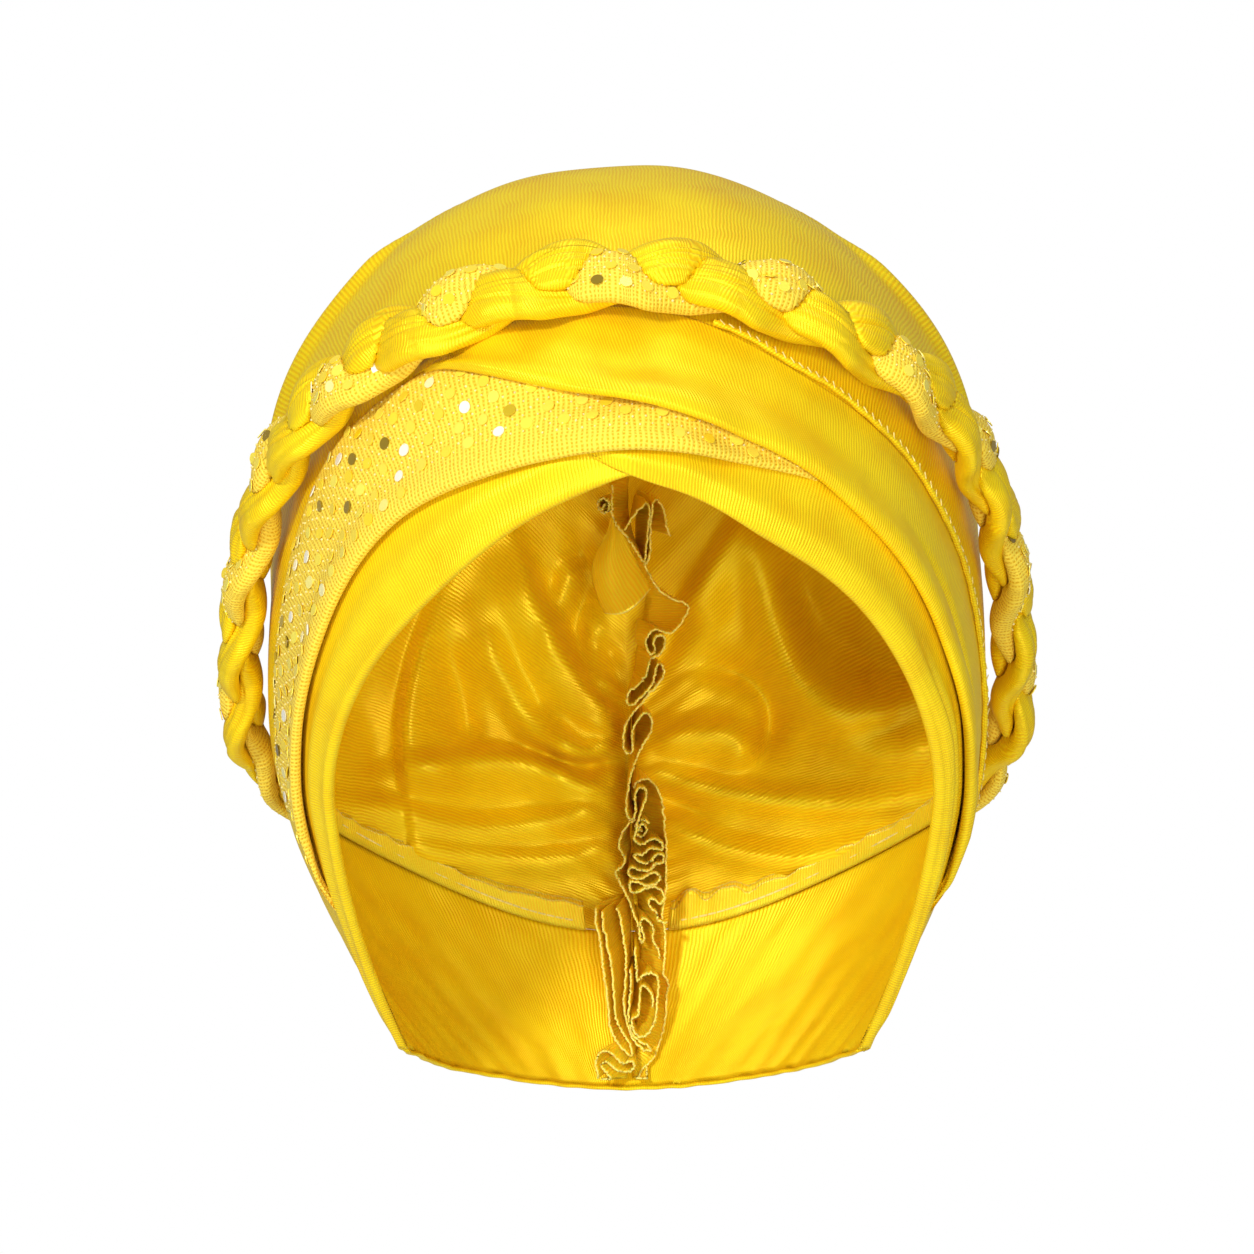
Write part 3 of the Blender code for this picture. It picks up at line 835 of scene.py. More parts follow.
def crease_relief(creases: tuple[Crease, ...], a: Array, b: Array) -> Array:
    """How far the folds stand up at each place of their plane.

    Args:
        creases: the fold lines.
        a: the first coordinate of each place.
        b: the second.

    Returns:
        The height for each place, in millimetres.
    """
    total = np.zeros(np.broadcast(a, b).shape)
    for crease in creases:
        knots = np.linspace(0, 1, len(crease.path))
        share = np.linspace(0, 1, 14)
        line = Cubic(knots, np.array(crease.path))(share)
        nearest = np.full(total.shape, 1e9)
        side, along = np.zeros(total.shape), np.zeros(total.shape)
        for k, (start, end) in enumerate(zip(line, line[1:])):
            run = end - start
            reach = ((a - start[0]) * run[0] + (b - start[1]) * run[1]) / (run @ run)
            reach = np.clip(reach, 0, 1)
            gap_a, gap_b = a - start[0] - reach * run[0], b - start[1] - reach * run[1]
            gap = np.hypot(gap_a, gap_b)
            closer = gap < nearest
            nearest = np.where(closer, gap, nearest)
            side = np.where(closer, run[0] * gap_b - run[1] * gap_a, side)
            along = np.where(closer, (k + reach) / (len(line) - 1), along)
        width = np.where(side > 0, crease.crisp, crease.soft)
        ends = smooth(0, 0.22, along) * (1 - smooth(0.78, 1.0, along)) * 0.75 + 0.25
        total += crease.height * ends * np.exp(-((nearest / width) ** 2))
    return total


# Folds on the inside of the crown's back, by x and z, standing towards the face opening
LEFT_FOLDS = (
    Crease(((-53, -112), (-62, -140), (-64, -158), (-63, -176)), 7.0, 18.0, 1.8),
    Crease(((-33, -98), (-23, -125), (-10, -145), (1, -156)), 7.5, 1.4, 15.0),
    Crease(((-43, -122), (-36, -137), (-28, -152), (-19, -162), (-8, -168)), 4.5, 4.5, 5.0),
    Crease(((-55, -126), (-50, -143), (-47, -163)), -4.5, 5.0, 5.0),
    Crease(((-37, -126), (-31, -140), (-23, -153)), -3.0, 3.5, 4.0),
    Crease(((-20, -152), (-17, -159), (-9, -161), (-3, -155)), 4.5, 1.6, 3.5),
    Crease(((-66, -165), (-50, -163), (-27, -164), (-13, -171), (-3, -167)), 6.5, 1.5, 9.0),
    Crease(((-28, -161), (-17, -164), (-5, -165)), -6.0, 2.0, 2.4),
    Crease(((-10, -120), (-9, -136), (-4, -147)), 4.0, 2.2, 3.2),
    Crease(((-23, -130), (-18, -112), (-9, -106)), 4.5, 1.5, 4.0),
    Crease(((-15, -98), (-13, -112), (-15, -124)), -4.0, 4.0, 3.0),
    Crease(((-25, -106), (-17, -124), (-7, -139)), -3.2, 6.0, 3.0),
    Crease(((-84, -140), (-76, -156), (-74, -170)), -3.0, 8.0, 7.0),
    Crease(((-88, -174), (-66, -177), (-46, -182), (-20, -180), (-1, -176)), 3.6, 1.6, 7.0),
    Crease(((-70, -186), (-46, -191), (-20, -192), (-4, -188)), 2.6, 2.0, 5.0),
)
RIGHT_FOLDS = (
    Crease(((34, -92), (24, -108), (13, -124)), 7.0, 12.0, 1.5),
    Crease(((36, -94), (40, -113), (45, -131), (52, -143), (68, -150), (86, -143)), 7.0, 6.5, 5.0),
    Crease(((50, -100), (57, -122), (74, -134), (90, -136)), -6.0, 8.0, 8.0),
    Crease(((18, -136), (33, -139), (41, -146), (42, -155), (38, -166)), -5.5, 4.5, 3.6),
    Crease(((3, -160), (18, -156), (31, -157), (38, -167)), 5.0, 3.6, 7.0),
    Crease(((2, -166), (26, -172), (47, -175), (71, -175), (92, -170)), 4.6, 2.2, 4.2),
    Crease(((48, -146), (65, -158), (77, -161), (92, -159)), 4.0, 5.5, 4.5),
    Crease(((6, -180), (21, -186), (39, -191), (59, -190), (82, -182)), 3.4, 2.0, 4.5),
    Crease(((4, -142), (12, -130), (16, -118)), -4.5, 3.0, 5.0),
    Crease(((3, -172), (14, -176), (26, -182)), -2.6, 2.2, 2.6),
)
# Folds on the outside of the crown, by millimetres along and back from the top of the rim
OUTER_FOLDS = (
    Crease(((-52, 128), (-66, 120), (-80, 117), (-98, 119), (-118, 127)), 3.0, 1.8, 14.0),
    Crease(((52, 128), (66, 119), (80, 116), (98, 118), (118, 126)), 2.6, 14.0, 1.8),
)


class Bulge(NamedTuple):
    """Slack that stands out of the form round a place."""

    u: float
    v: float
    half_width: float
    half_length: float
    height: float


@dataclass
class Crown:
    """The gathered dome, sewn to its mirror half down the middle of the back."""

    columns: int = 300
    rows: int = 156
    start: float = 0.046
    cloth: float = 1.2
    seam_gap: float = 0.4
    relief: float = 2.3  # how much deeper the folds hang than their tables say
    easing: int = 2  # times that a fold's height is shared with its neighbours, as stiff cloth does
    gather_depth: float = 1.5
    gather_reach: float = 15.0  # mm from the back seam in which the gathers fade to a third
    ripple: float = 0.35  # mm
    bulges: tuple[Bulge, ...] = (
        Bulge(-0.38, 0.50, 0.13, 0.14, 9.5),
        Bulge(0.36, 0.50, 0.12, 0.14, 7.5),
        Bulge(-0.20, 0.48, 0.08, 0.14, 2.2),
        Bulge(0.20, 0.48, 0.07, 0.14, 1.0),
    )
    seed: int = 4

    def slack(self, u: Array, v: Array) -> Array:
        """How far the cloth puffs out behind the braid, which holds it down."""
        height = np.zeros(np.broadcast(u, v).shape)
        for bulge in self.bulges:
            across = bell(u - bulge.u, bulge.half_width)
            height += bulge.height * across * bell(v - bulge.v, bulge.half_length)
        route = [r for r in reversed(BRAID_ROUTE) if r.v < 0.6]
        held = np.interp(np.abs(u), [r.u for r in route], [r.v for r in route])
        return height * smooth(0.01, 0.14, v - held)

    def _gathers(self, u: Array, v: Array, x: Array) -> Array:
        """Small gathers that fan out of the back seam and fade away from it."""
        wander = Noise(self.seed, 0.45)(u, v)
        waves = np.sin(math.tau * (13 * u + 0.9 * wander)) + 0.6 * np.sin(
            math.tau * (29 * u + 1.4 * wander) + 1.0
        )
        return self.gather_depth * waves * np.exp(-np.abs(x) / self.gather_reach) * smooth(0.55, 0.8, v)

    @staticmethod
    def _clear(u: Array, v: Array, x: Array) -> Array:
        """0 at the seams, which hold the cloth, and 1 away from them."""
        seam = (FORM.nape_seam(v) - np.abs(u)) * FORM.half_arch
        return smooth(0, 5, np.abs(x)) * smooth(0, 9, seam)

    def hang(self, u: Array, v: Array) -> Array:
        """How far the back's folds hang towards the face opening."""
        base = FORM.point(u, v)
        x, z = base[..., 0], base[..., 2]
        relief = self.relief * crease_relief(LEFT_FOLDS + RIGHT_FOLDS, x, z)
        relief *= smooth(0.46, 0.56, v) * self._clear(u, v, x)
        for _ in range(self.easing):
            for rows in (relief, relief.T):
                rows[1:-1] = (rows[:-2] + 2 * rows[1:-1] + rows[2:]) / 4
        return relief

    def height(self, u: Array, v: Array) -> Array:
        """The cloth's height above the form."""
        x = FORM.point(u, v)[..., 0]
        inward = self._gathers(u, v, x) * self._clear(u, v, x)
        outward = crease_relief(OUTER_FOLDS, u * FORM.half_arch, v * FORM.depth)
        outward *= 1 - smooth(0.66, 0.78, v)
        ripple = Noise(self.seed + 1, 46.0)(u * FORM.half_arch, v * FORM.depth)
        loose = smooth(0.26, 0.40, v) * smooth(0, 12, np.abs(x) + 40 * (1 - smooth(0.8, 1, v)))
        return self.slack(u, v) + outward - inward + self.ripple * ripple * loose

    def grid(self) -> Cloth:
        """The dome's cloth."""
        share = np.linspace(0, 1, self.rows + 1)
        v = np.interp(share, [0, 0.17, 0.33, 1], [self.start, 0.38, 0.50, 1.0])[:, None]
        across = np.linspace(-1, 1, self.columns + 1)[None, :]
        u = across * (FORM.nape_seam(v) - 0.5 * self.seam_gap / FORM.half_arch)
        points = FORM.at(u, v, self.height(u, v))
        points[..., 1] -= self.hang(u, v)
        points[-1] = (points[-1] + points[-1, ::-1]) / 2
        points[-1, :, 0] = 0.0
        cloth = Cloth(points, sewn=True)
        cloth.pattern = np.stack([u * FORM.half_arch, np.broadcast_to(v * FORM.depth, u.shape)], -1)
        return cloth

    def build(self) -> Piece:
        """The dressed crown."""
        piece = self.grid().build("gathered_crown", self.cloth, offset=0.0)
        fit_out(piece, SATIN[Lay.ACROSS], "satin", "crown")
        return piece


@dataclass
class NapeBand:
    """The smooth band round the nape, from the nape seam down to its turned edge."""

    columns: int = 180
    rows: int = 30
    start: float = 0.046
    cloth: float = 1.2
    turned_edge: tuple[tuple[float, float], ...] = ((1.004, -0.5), (1.002, -1.0))  # share, height

    def grid(self) -> Cloth:
        """The band's cloth, from the seam down and round its edge."""
        c = np.linspace(-1, 1, self.columns + 1)[None, :]
        v = 1 - np.abs(c) * (1 - self.start)
        side = np.where(c < 0, -1.0, 1.0)
        edge = FORM.nape_seam(v) + 0.2 / FORM.half_arch
        rows = [(down, 0.0) for down in np.linspace(0, 1, self.rows + 1)] + [*self.turned_edge]
        share, h = (np.array(column)[:, None] for column in zip(*rows))
        u = edge + (1 - edge) * share
        ripple = Noise(11, 30.0)(c * 260, share * 60)
        wave = np.sin(c * 95 + 0.6 * ripple) * bell(np.abs(c) - 0.72, 0.16) * smooth(0.45, 0.95, share)
        fan = np.sin(math.tau * (c * 17 + share * 1.5)) * bell(c - 0.14, 0.12) * (1 - share)
        height = h + (0.3 * ripple + 0.35 * fan) * smooth(0, 0.12, share)
        height += 0.16 * wave * (1 - smooth(0.86, 0.97, share))
        points = FORM.at(side * u, np.broadcast_to(v, u.shape), height)
        points[:, self.columns // 2, 0] = 0.0
        return Cloth(points)

    def build(self) -> Piece:
        """The dressed band."""
        piece = self.grid().build("nape_band_satin", self.cloth, offset=0.0)
        fit_out(piece, SATIN[Lay.ACROSS], "satin", "nape_band")
        return piece


class Station(NamedTuple):
    """A band's near and far edges at a place along it."""

    u: float
    near: float
    far: float


class Pleat(NamedTuple):
    """A lengthwise crease of a band: its place across, where it runs, its depth and width."""

    across: float
    start: float
    end: float
    depth: float
    half_width: float


@dataclass
class WrappedBand:
    """A folded band of cloth that lies over the layers below, its near edge rolled under."""

    name: str
    node: str
    stations: tuple[Station, ...]
    finish: Finish
    slot: str
    flat: tuple[float, float]
    loft: float = 1.8  # mm, the air between its two plies
    puff: float = 1.2  # mm more just behind the rolled edge
    puff_at: float = 0.16
    full_width: float = 16.0  # mm of width from which it is at its full height
    stiffness: int = 6
    cloth: float = 1.1
    columns: int = 260
    rows: int = 44
    ripple: float = 0.25
    pleats: tuple[Pleat, ...] = ()
    opens: tuple[float, float] | None = None  # u between which it wraps the rim of the opening
    fade: float = 0.05
    tuck: float = 10.0  # mm that its near edge turns under, at most
    roll: float = 80.0  # degrees that the rolled edge turns to each side
    seat: float = 0.35  # mm between the turned ply and what it lies on
    under: float = 1.5  # mm that the turned ply lies inside the form where it wraps the rim
    tuck_in: float = 0.0  # mm that its ends go down into the layers below
    seed: int = 1

    def __post_init__(self) -> None:
        """Fits the edges."""
        u = [s.u for s in self.stations]
        self.near = Cubic(u, [s.near for s in self.stations])
        self.far = Cubic(u, [s.far for s in self.stations])
        self.span = (u[0], u[-1])
        self.surface: Cloth | None = None

    def _top(self, u: Array, t: Array, width: Array) -> Array:
        """The upper ply's height over the bed, across t from the rolled edge to the far edge."""
        taper = np.clip(width / self.full_width, 0.25, 1)
        taper = taper * (0.2 + 0.8 * smooth(0, 0.06, np.minimum(u - self.span[0], self.span[1] - u)))
        top = self.loft + self.puff * bell(t - self.puff_at, 0.16)
        top -= 0.6 * self.loft * smooth(0.70, 1.0, t)
        for pleat in self.pleats:
            runs = smooth(pleat.start, pleat.start + 0.12, u) * (
                1 - smooth(pleat.end - 0.10, pleat.end, u)
            )
            top -= pleat.depth * runs * bell(t - pleat.across, pleat.half_width)
            top += 0.45 * pleat.depth * runs * bell(t - pleat.across, 3.2 * pleat.half_width)
        wave = Noise(self.seed, 34.0)(u * FORM.half_arch, t * 14.0)
        top += self.ripple * wave * smooth(0.02, 0.2, t)
        return top * taper

    def grid(self, stack: LayerStack) -> Cloth:
        """The band's cloth over what lies below it."""
        u = np.linspace(*self.span, self.columns + 1)[None, :]
        near, far = self.near(u), self.far(u)
        gap = np.linalg.norm(FORM.at(u, near + 0.02, 0 * u) - FORM.at(u, near, 0 * u), axis=-1)
        per_v = gap / 0.02
        width = (far - near) * per_v
        bed = stack.bed(self.stiffness)
        turned = np.zeros_like(u)
        if self.opens:
            turned = smooth(self.opens[0] - self.fade, self.opens[0] + self.fade, u)
            turned = turned * (1 - smooth(self.opens[1] - self.fade, self.opens[1] + self.fade, u))
        edge_top = self._top(u, 0 * u + 0.02, width)
        rows: list[tuple[Array, Array]] = []
        tuck = np.minimum(self.tuck, 0.6 * width)
        for share in (1.0, 0.7, 0.4, 0.2):
            v = near + tuck * share / per_v
            rows.append((v, (stack.read(bed, u, v) + self.seat) * (1 - turned) - self.under * turned))
        at_edge = stack.read(bed, u, near)
        bottom = (at_edge + self.seat) * (1 - turned) - self.under * turned
        top_h = at_edge + edge_top
        radius = np.maximum((top_h - bottom) / 2, 0.1)
        for angle in np.linspace(-self.roll, self.roll, 9):
            a = math.radians(angle)
            out = radius * (1 - math.cos(a)) * 0.9
            rows.append((near + out / per_v, (top_h + bottom) / 2 + radius * math.sin(a)))
        first = radius * (1 - math.cos(math.radians(self.roll))) * 0.9 / width
        for t in np.linspace(0, 1, self.rows)[1:]:
            share = first + (1 - first) * t
            v = near + (far - near) * share
            rows.append((v, stack.read(bed, u, v) + self._top(u, share, width)))
        v = np.concatenate([r[0] for r in rows])
        h = np.concatenate([r[1] for r in rows])
        h = h - self.tuck_in * (1 - smooth(0, 0.07, np.minimum(u - self.span[0], self.span[1] - u)))
        return Cloth(FORM.at(np.broadcast_to(u, v.shape), v, h))

    def lay(self, stack: LayerStack) -> Piece:
        """Builds the band over the stack and adds it to the stack."""
        self.surface = self.grid(stack)
        bed = stack.bed(self.stiffness)
        u, v = stack.u[None, :], stack.v[:, None]
        near, far = self.near(stack.u)[None, :], self.far(stack.u)[None, :]
        t = np.clip((v - near) / np.maximum(far - near, 1e-4), 0, 1)
        width = (far - near) * FORM.depth
        stack.lay(self.near, self.far, self.span, bed + self._top(u, t, width))
        piece = self.surface.build(self.name, self.cloth)
        fit_out(piece, self.finish, self.slot, self.node)
        return piece


LEFT_FACE_BAND = (
    Station(-1.00, 0.0, 0.075),
    Station(-0.75, 0.0, 0.088),
    Station(-0.55, 0.0, 0.096),
    Station(-0.36, 0.0, 0.108),
    Station(-0.20, 0.0, 0.090),
    Station(-0.05, 0.0, 0.070),
    Station(0.02, 0.012, 0.064),
    Station(0.10, 0.032, 0.058),
)
RIGHT_FACE_BAND = (
    Station(-0.10, 0.048, 0.058),
    Station(-0.06, 0.032, 0.058),
    Station(-0.03, 0.016, 0.060),
    Station(0.00, 0.004, 0.064),
    Station(0.06, 0.0, 0.078),
    Station(0.15, 0.0, 0.092),
    Station(0.40, 0.0, 0.096),
    Station(0.70, 0.0, 0.085),
    Station(1.00, 0.0, 0.070),
)
SEQUIN_WRAP = (
    Station(-0.82, 0.030, 0.044),
    Station(-0.78, 0.044, 0.076),
    Station(-0.74, 0.058, 0.115),
    Station(-0.70, 0.066, 0.160),
    Station(-0.65, 0.068, 0.205),
    Station(-0.55, 0.072, 0.222),
    Station(-0.45, 0.080, 0.228),
    Station(-0.36, 0.084, 0.222),
    Station(-0.30, 0.079, 0.205),
    Station(-0.20, 0.057, 0.180),
    Station(-0.10, 0.036, 0.150),
    Station(0.00, 0.026, 0.112),
    Station(0.08, 0.037, 0.100),
    Station(0.16, 0.055, 0.095),
    Station(0.28, 0.083, 0.094),
)
SATIN_WRAP = (
    Station(-0.27, 0.206, 0.214),
    Station(-0.23, 0.184, 0.212),
    Station(-0.18, 0.150, 0.204),
    Station(-0.12, 0.114, 0.196),
    Station(-0.06, 0.087, 0.190),
    Station(0.00, 0.071, 0.186),
    Station(0.06, 0.065, 0.178),
    Station(0.12, 0.067, 0.168),
    Station(0.20, 0.071, 0.162),
    Station(0.30, 0.068, 0.168),
    Station(0.40, 0.068, 0.180),
    Station(0.50, 0.064, 0.190),
    Station(0.60, 0.056, 0.186),
    Station(0.68, 0.053, 0.160),
    Station(0.73, 0.050, 0.127),
    Station(0.78, 0.044, 0.084),
    Station(0.82, 0.034, 0.052),
)


def frames(line: Array, out: Array) -> tuple[Array, Array, Array]:
    """The ways ahead, out and to the side along a line, square to each other."""
    ahead = unit(np.gradient(line, axis=0))
    out = unit(out - (out * ahead).sum(1, keepdims=True) * ahead)
    return ahead, out, np.cross(ahead, out)


class RoutePoint(NamedTuple):
    """A place on the braid's middle line, on the right half."""

    u: float
    v: float


BRAID_ROUTE = (
    RoutePoint(0.735, 0.965),
    RoutePoint(0.735, 0.80),
    RoutePoint(0.740, 0.66),
    RoutePoint(0.735, 0.57),
    RoutePoint(0.705, 0.49),
    RoutePoint(0.650, 0.42),
    RoutePoint(0.570, 0.355),
    RoutePoint(0.450, 0.298),
    RoutePoint(0.320, 0.238),
    RoutePoint(0.200, 0.207),
    RoutePoint(0.100, 0.200),
)


@dataclass
class Braid:
    """A three-strand braid of rolled strips over the top of the head."""

    crown: Crown
    pitch: float = 84.0  # mm in which a strand comes back to its side
    sway: float = 3.8  # mm that a strand's middle goes to each side
    lift: float = 2.8  # mm that it goes up and down
    ahead: float = 14.5  # mm that the pattern is shifted along
    half_width: float = 8.2
    half_height: float = 3.6
    gap: float = 0.2
    rest: float = 7.3  # mm from what it lies on to its middle
    ground: float = 1.0
    slimming: float = 0.36  # how much thinner the braid gets towards the nape, as a share
    rings: int = 640
    sides: int = 68
    top_v: float = 0.199
    pleat_depth: float = 1.1
    squareness: float = 2.5
    pleats: tuple[tuple[float, float], ...] = (
        (22, 6), (48, 8), (76, 7), (104, 9), (134, 6), (158, 7), (205, 9),
    )  # degrees round the strand, and how wide

    def __post_init__(self) -> None:
        """Lays out the middle line."""
        left = [(-r.u, r.v) for r in BRAID_ROUTE]
        route = np.array([*left, (0.0, self.top_v), *reversed(BRAID_ROUTE)])
        place = Cubic(np.linspace(0, 1, len(route)), route)(np.linspace(0, 1, 1500))
        u, v = place[:, 0], place[:, 1]
        ends = np.abs(u) + 0.5 * np.maximum(v - 0.45, 0)
        slim = 1 - self.slimming * smooth(0.62, 0.74, ends)
        height = self.ground + self.rest * slim + np.maximum(self.crown.slack(u, v), 0)
        line = FORM.at(u, v, height)
        run = np.concatenate([[0], np.cumsum(np.linalg.norm(np.diff(line, axis=0), axis=1))])
        self.run = np.linspace(0, run[-1], self.rings)
        self.line = np.stack([np.interp(self.run, run, line[:, k]) for k in range(3)], axis=1)
        u, v = np.interp(self.run, run, u), np.interp(self.run, run, v)
        _, self.out, self.side = frames(self.line, FORM.normal(u, v))
        self.slim = np.interp(self.run, run, slim)
        self.taper = self.slim * (
            0.7 + 0.3 * smooth(0, 40, np.minimum(self.run, self.run[-1] - self.run))
        )

    def centres(self) -> Array:
        """Each strand's middle in each section: strand, ring and (across, up)."""
        middle = self.run[-1] / 2
        turn = math.tau * (self.run - middle + self.ahead) / self.pitch
        phase = turn + math.tau * np.arange(3)[:, None] / 3
        across = self.sway * self.taper * np.sin(phase)
        return np.stack([across, self.lift * self.slim * np.sin(2 * phase)], -1)

    def section(self, strand: int) -> tuple[Array, Array]:
        """A strand's outline in each section, pressed flat where it meets its neighbours.

        Args:
            strand: 0 is the sequined one.

        Returns:
            The reach for each ring and angle, and whether it is free of a neighbour there.
        """
        centres = self.centres()
        here = centres[strand]
        angle = math.tau * np.arange(self.sides)[None, :] / self.sides
        across, up = np.cos(angle), np.sin(angle)
        wide = self.half_width * self.taper[:, None]
        high = self.half_height * self.slim[:, None]
        wide = wide * (0.68 + 0.32 * smooth(-1.0, 0.5, here[:, 1:] / (self.lift * self.slim[:, None])))
        power = self.squareness
        reach = (np.abs(across / wide) ** power + np.abs(up / high) ** power) ** (-1 / power)
        free = np.ones_like(reach)
        for other in range(3):
            if other == strand:
                continue
            apart = centres[other] - here
            normal = apart / np.stack([wide[:, 0] ** 2, high[:, 0] ** 2], -1)
            length = np.linalg.norm(normal, axis=1)
            middle = (apart * normal).sum(1) / 2 / length - self.gap / 2
            facing = (across * normal[:, :1] + up * normal[:, 1:]) / length[:, None]
            limit = np.where(facing > 1e-3, middle[:, None] / np.maximum(facing, 1e-3), 1e6)
            limit = np.maximum(limit, 0.4)
            free *= smooth(0.0, 0.8, limit - reach)
            reach = self._soft_least(reach, limit)
        drop = -self.rest * self.slim[:, None] - here[:, 1:]
        floor = np.where(up < -1e-3, drop / np.minimum(up, -1e-3), 1e6)
        reach = self._soft_least(reach, np.maximum(floor, 0.4))
        return reach, free

    @staticmethod
    def _soft_least(a: Array, b: Array) -> Array:
        """The smaller of two reaches, with the corner between them rounded."""
        b = np.minimum(b, 60.0)
        blend = np.clip(0.5 + 0.5 * (b - a) / 0.7, 0, 1)
        return b * (1 - blend) + a * blend - 0.7 * blend * (1 - blend) / 2

    def _pleats(self, strand: int) -> Array:
        """Lengthwise folds of the rolled strip, as a change of its reach."""
        angle = np.degrees(math.tau * np.arange(self.sides) / self.sides)[None, :]
        run = self.run[:, None]
        change = np.zeros((self.rings, self.sides))
        draw = np.random.default_rng(30 + strand)
        for start, width in self.pleats:
            sway = 10 * np.sin(math.tau * run / self.pitch * 2 + draw.uniform(0, math.tau))
            past = (angle - start - sway + 180) % 360 - 180
            weight = 0.6 + 0.4 * np.sin(run / 31.0 + draw.uniform(0, math.tau))
            step = np.where(past < 0, bell(past, width * 0.45), bell(past, width * 1.9))
            change -= self.pleat_depth * weight * step
        return change

    def strand(self, number: int) -> tuple[Cloth, Array]:
        """One strand's skin, and where it is free of its neighbours."""
        reach, free = self.section(number)
        reach = reach + self._pleats(number) * free * (0.5 if number == 0 else 1.0)
        angle = math.tau * np.arange(self.sides + 1)[None, :] / self.sides
        reach = np.concatenate([reach, reach[:, :1]], axis=1)
        free = np.concatenate([free, free[:, :1]], axis=1)
        here = self.centres()[number]
        across = here[:, :1] + reach * np.cos(angle)
        up = here[:, 1:] + reach * np.sin(angle)
        points = (
            self.line[:, None]
            + across[..., None] * self.side[:, None]
            + up[..., None] * self.out[:, None]
        )
        return Cloth(points.transpose(1, 0, 2)), free

    def build(self, name: str, number: int, node: str, finish: Finish, slot: str) -> Piece:
        """One dressed strand, closed round and at its ends."""
        cloth, _ = self.strand(number)
        index = cloth.numbered()
        index[-1] = index[0]
        caps = (index[:-1, 0].tolist(), index[:-1, -1][::-1].tolist())
        piece = fit_out(cloth.skin(name, index, caps), finish, slot, node)
        return piece


def sheets(name: str, cloths: list[Cloth], thickness: float) -> Piece:
    """Several separate sheets as one piece.

    Args:
        name: the piece's name.
        cloths: the sheets.
        thickness: of the cloth, in millimetres.

    Returns:
        The piece.
    """
    first, *others = [cloth.build(name, thickness, offset=0.0) for cloth in cloths]
    whole = bmesh.new()
    for part in (first, *others):
        whole.from_mesh(part.data)
    whole.to_mesh(first.data)
    whole.free()
    first.data.shade_smooth()
    for part in others:
        bpy.data.objects.remove(part)
    return first


class EdgePath(NamedTuple):
    """The raw edge of one ruffled ply: x and z of its turns, how far it stands out, its foot."""

    turns: tuple[tuple[float, float], ...]
    front: float
    foot: float = 108.5


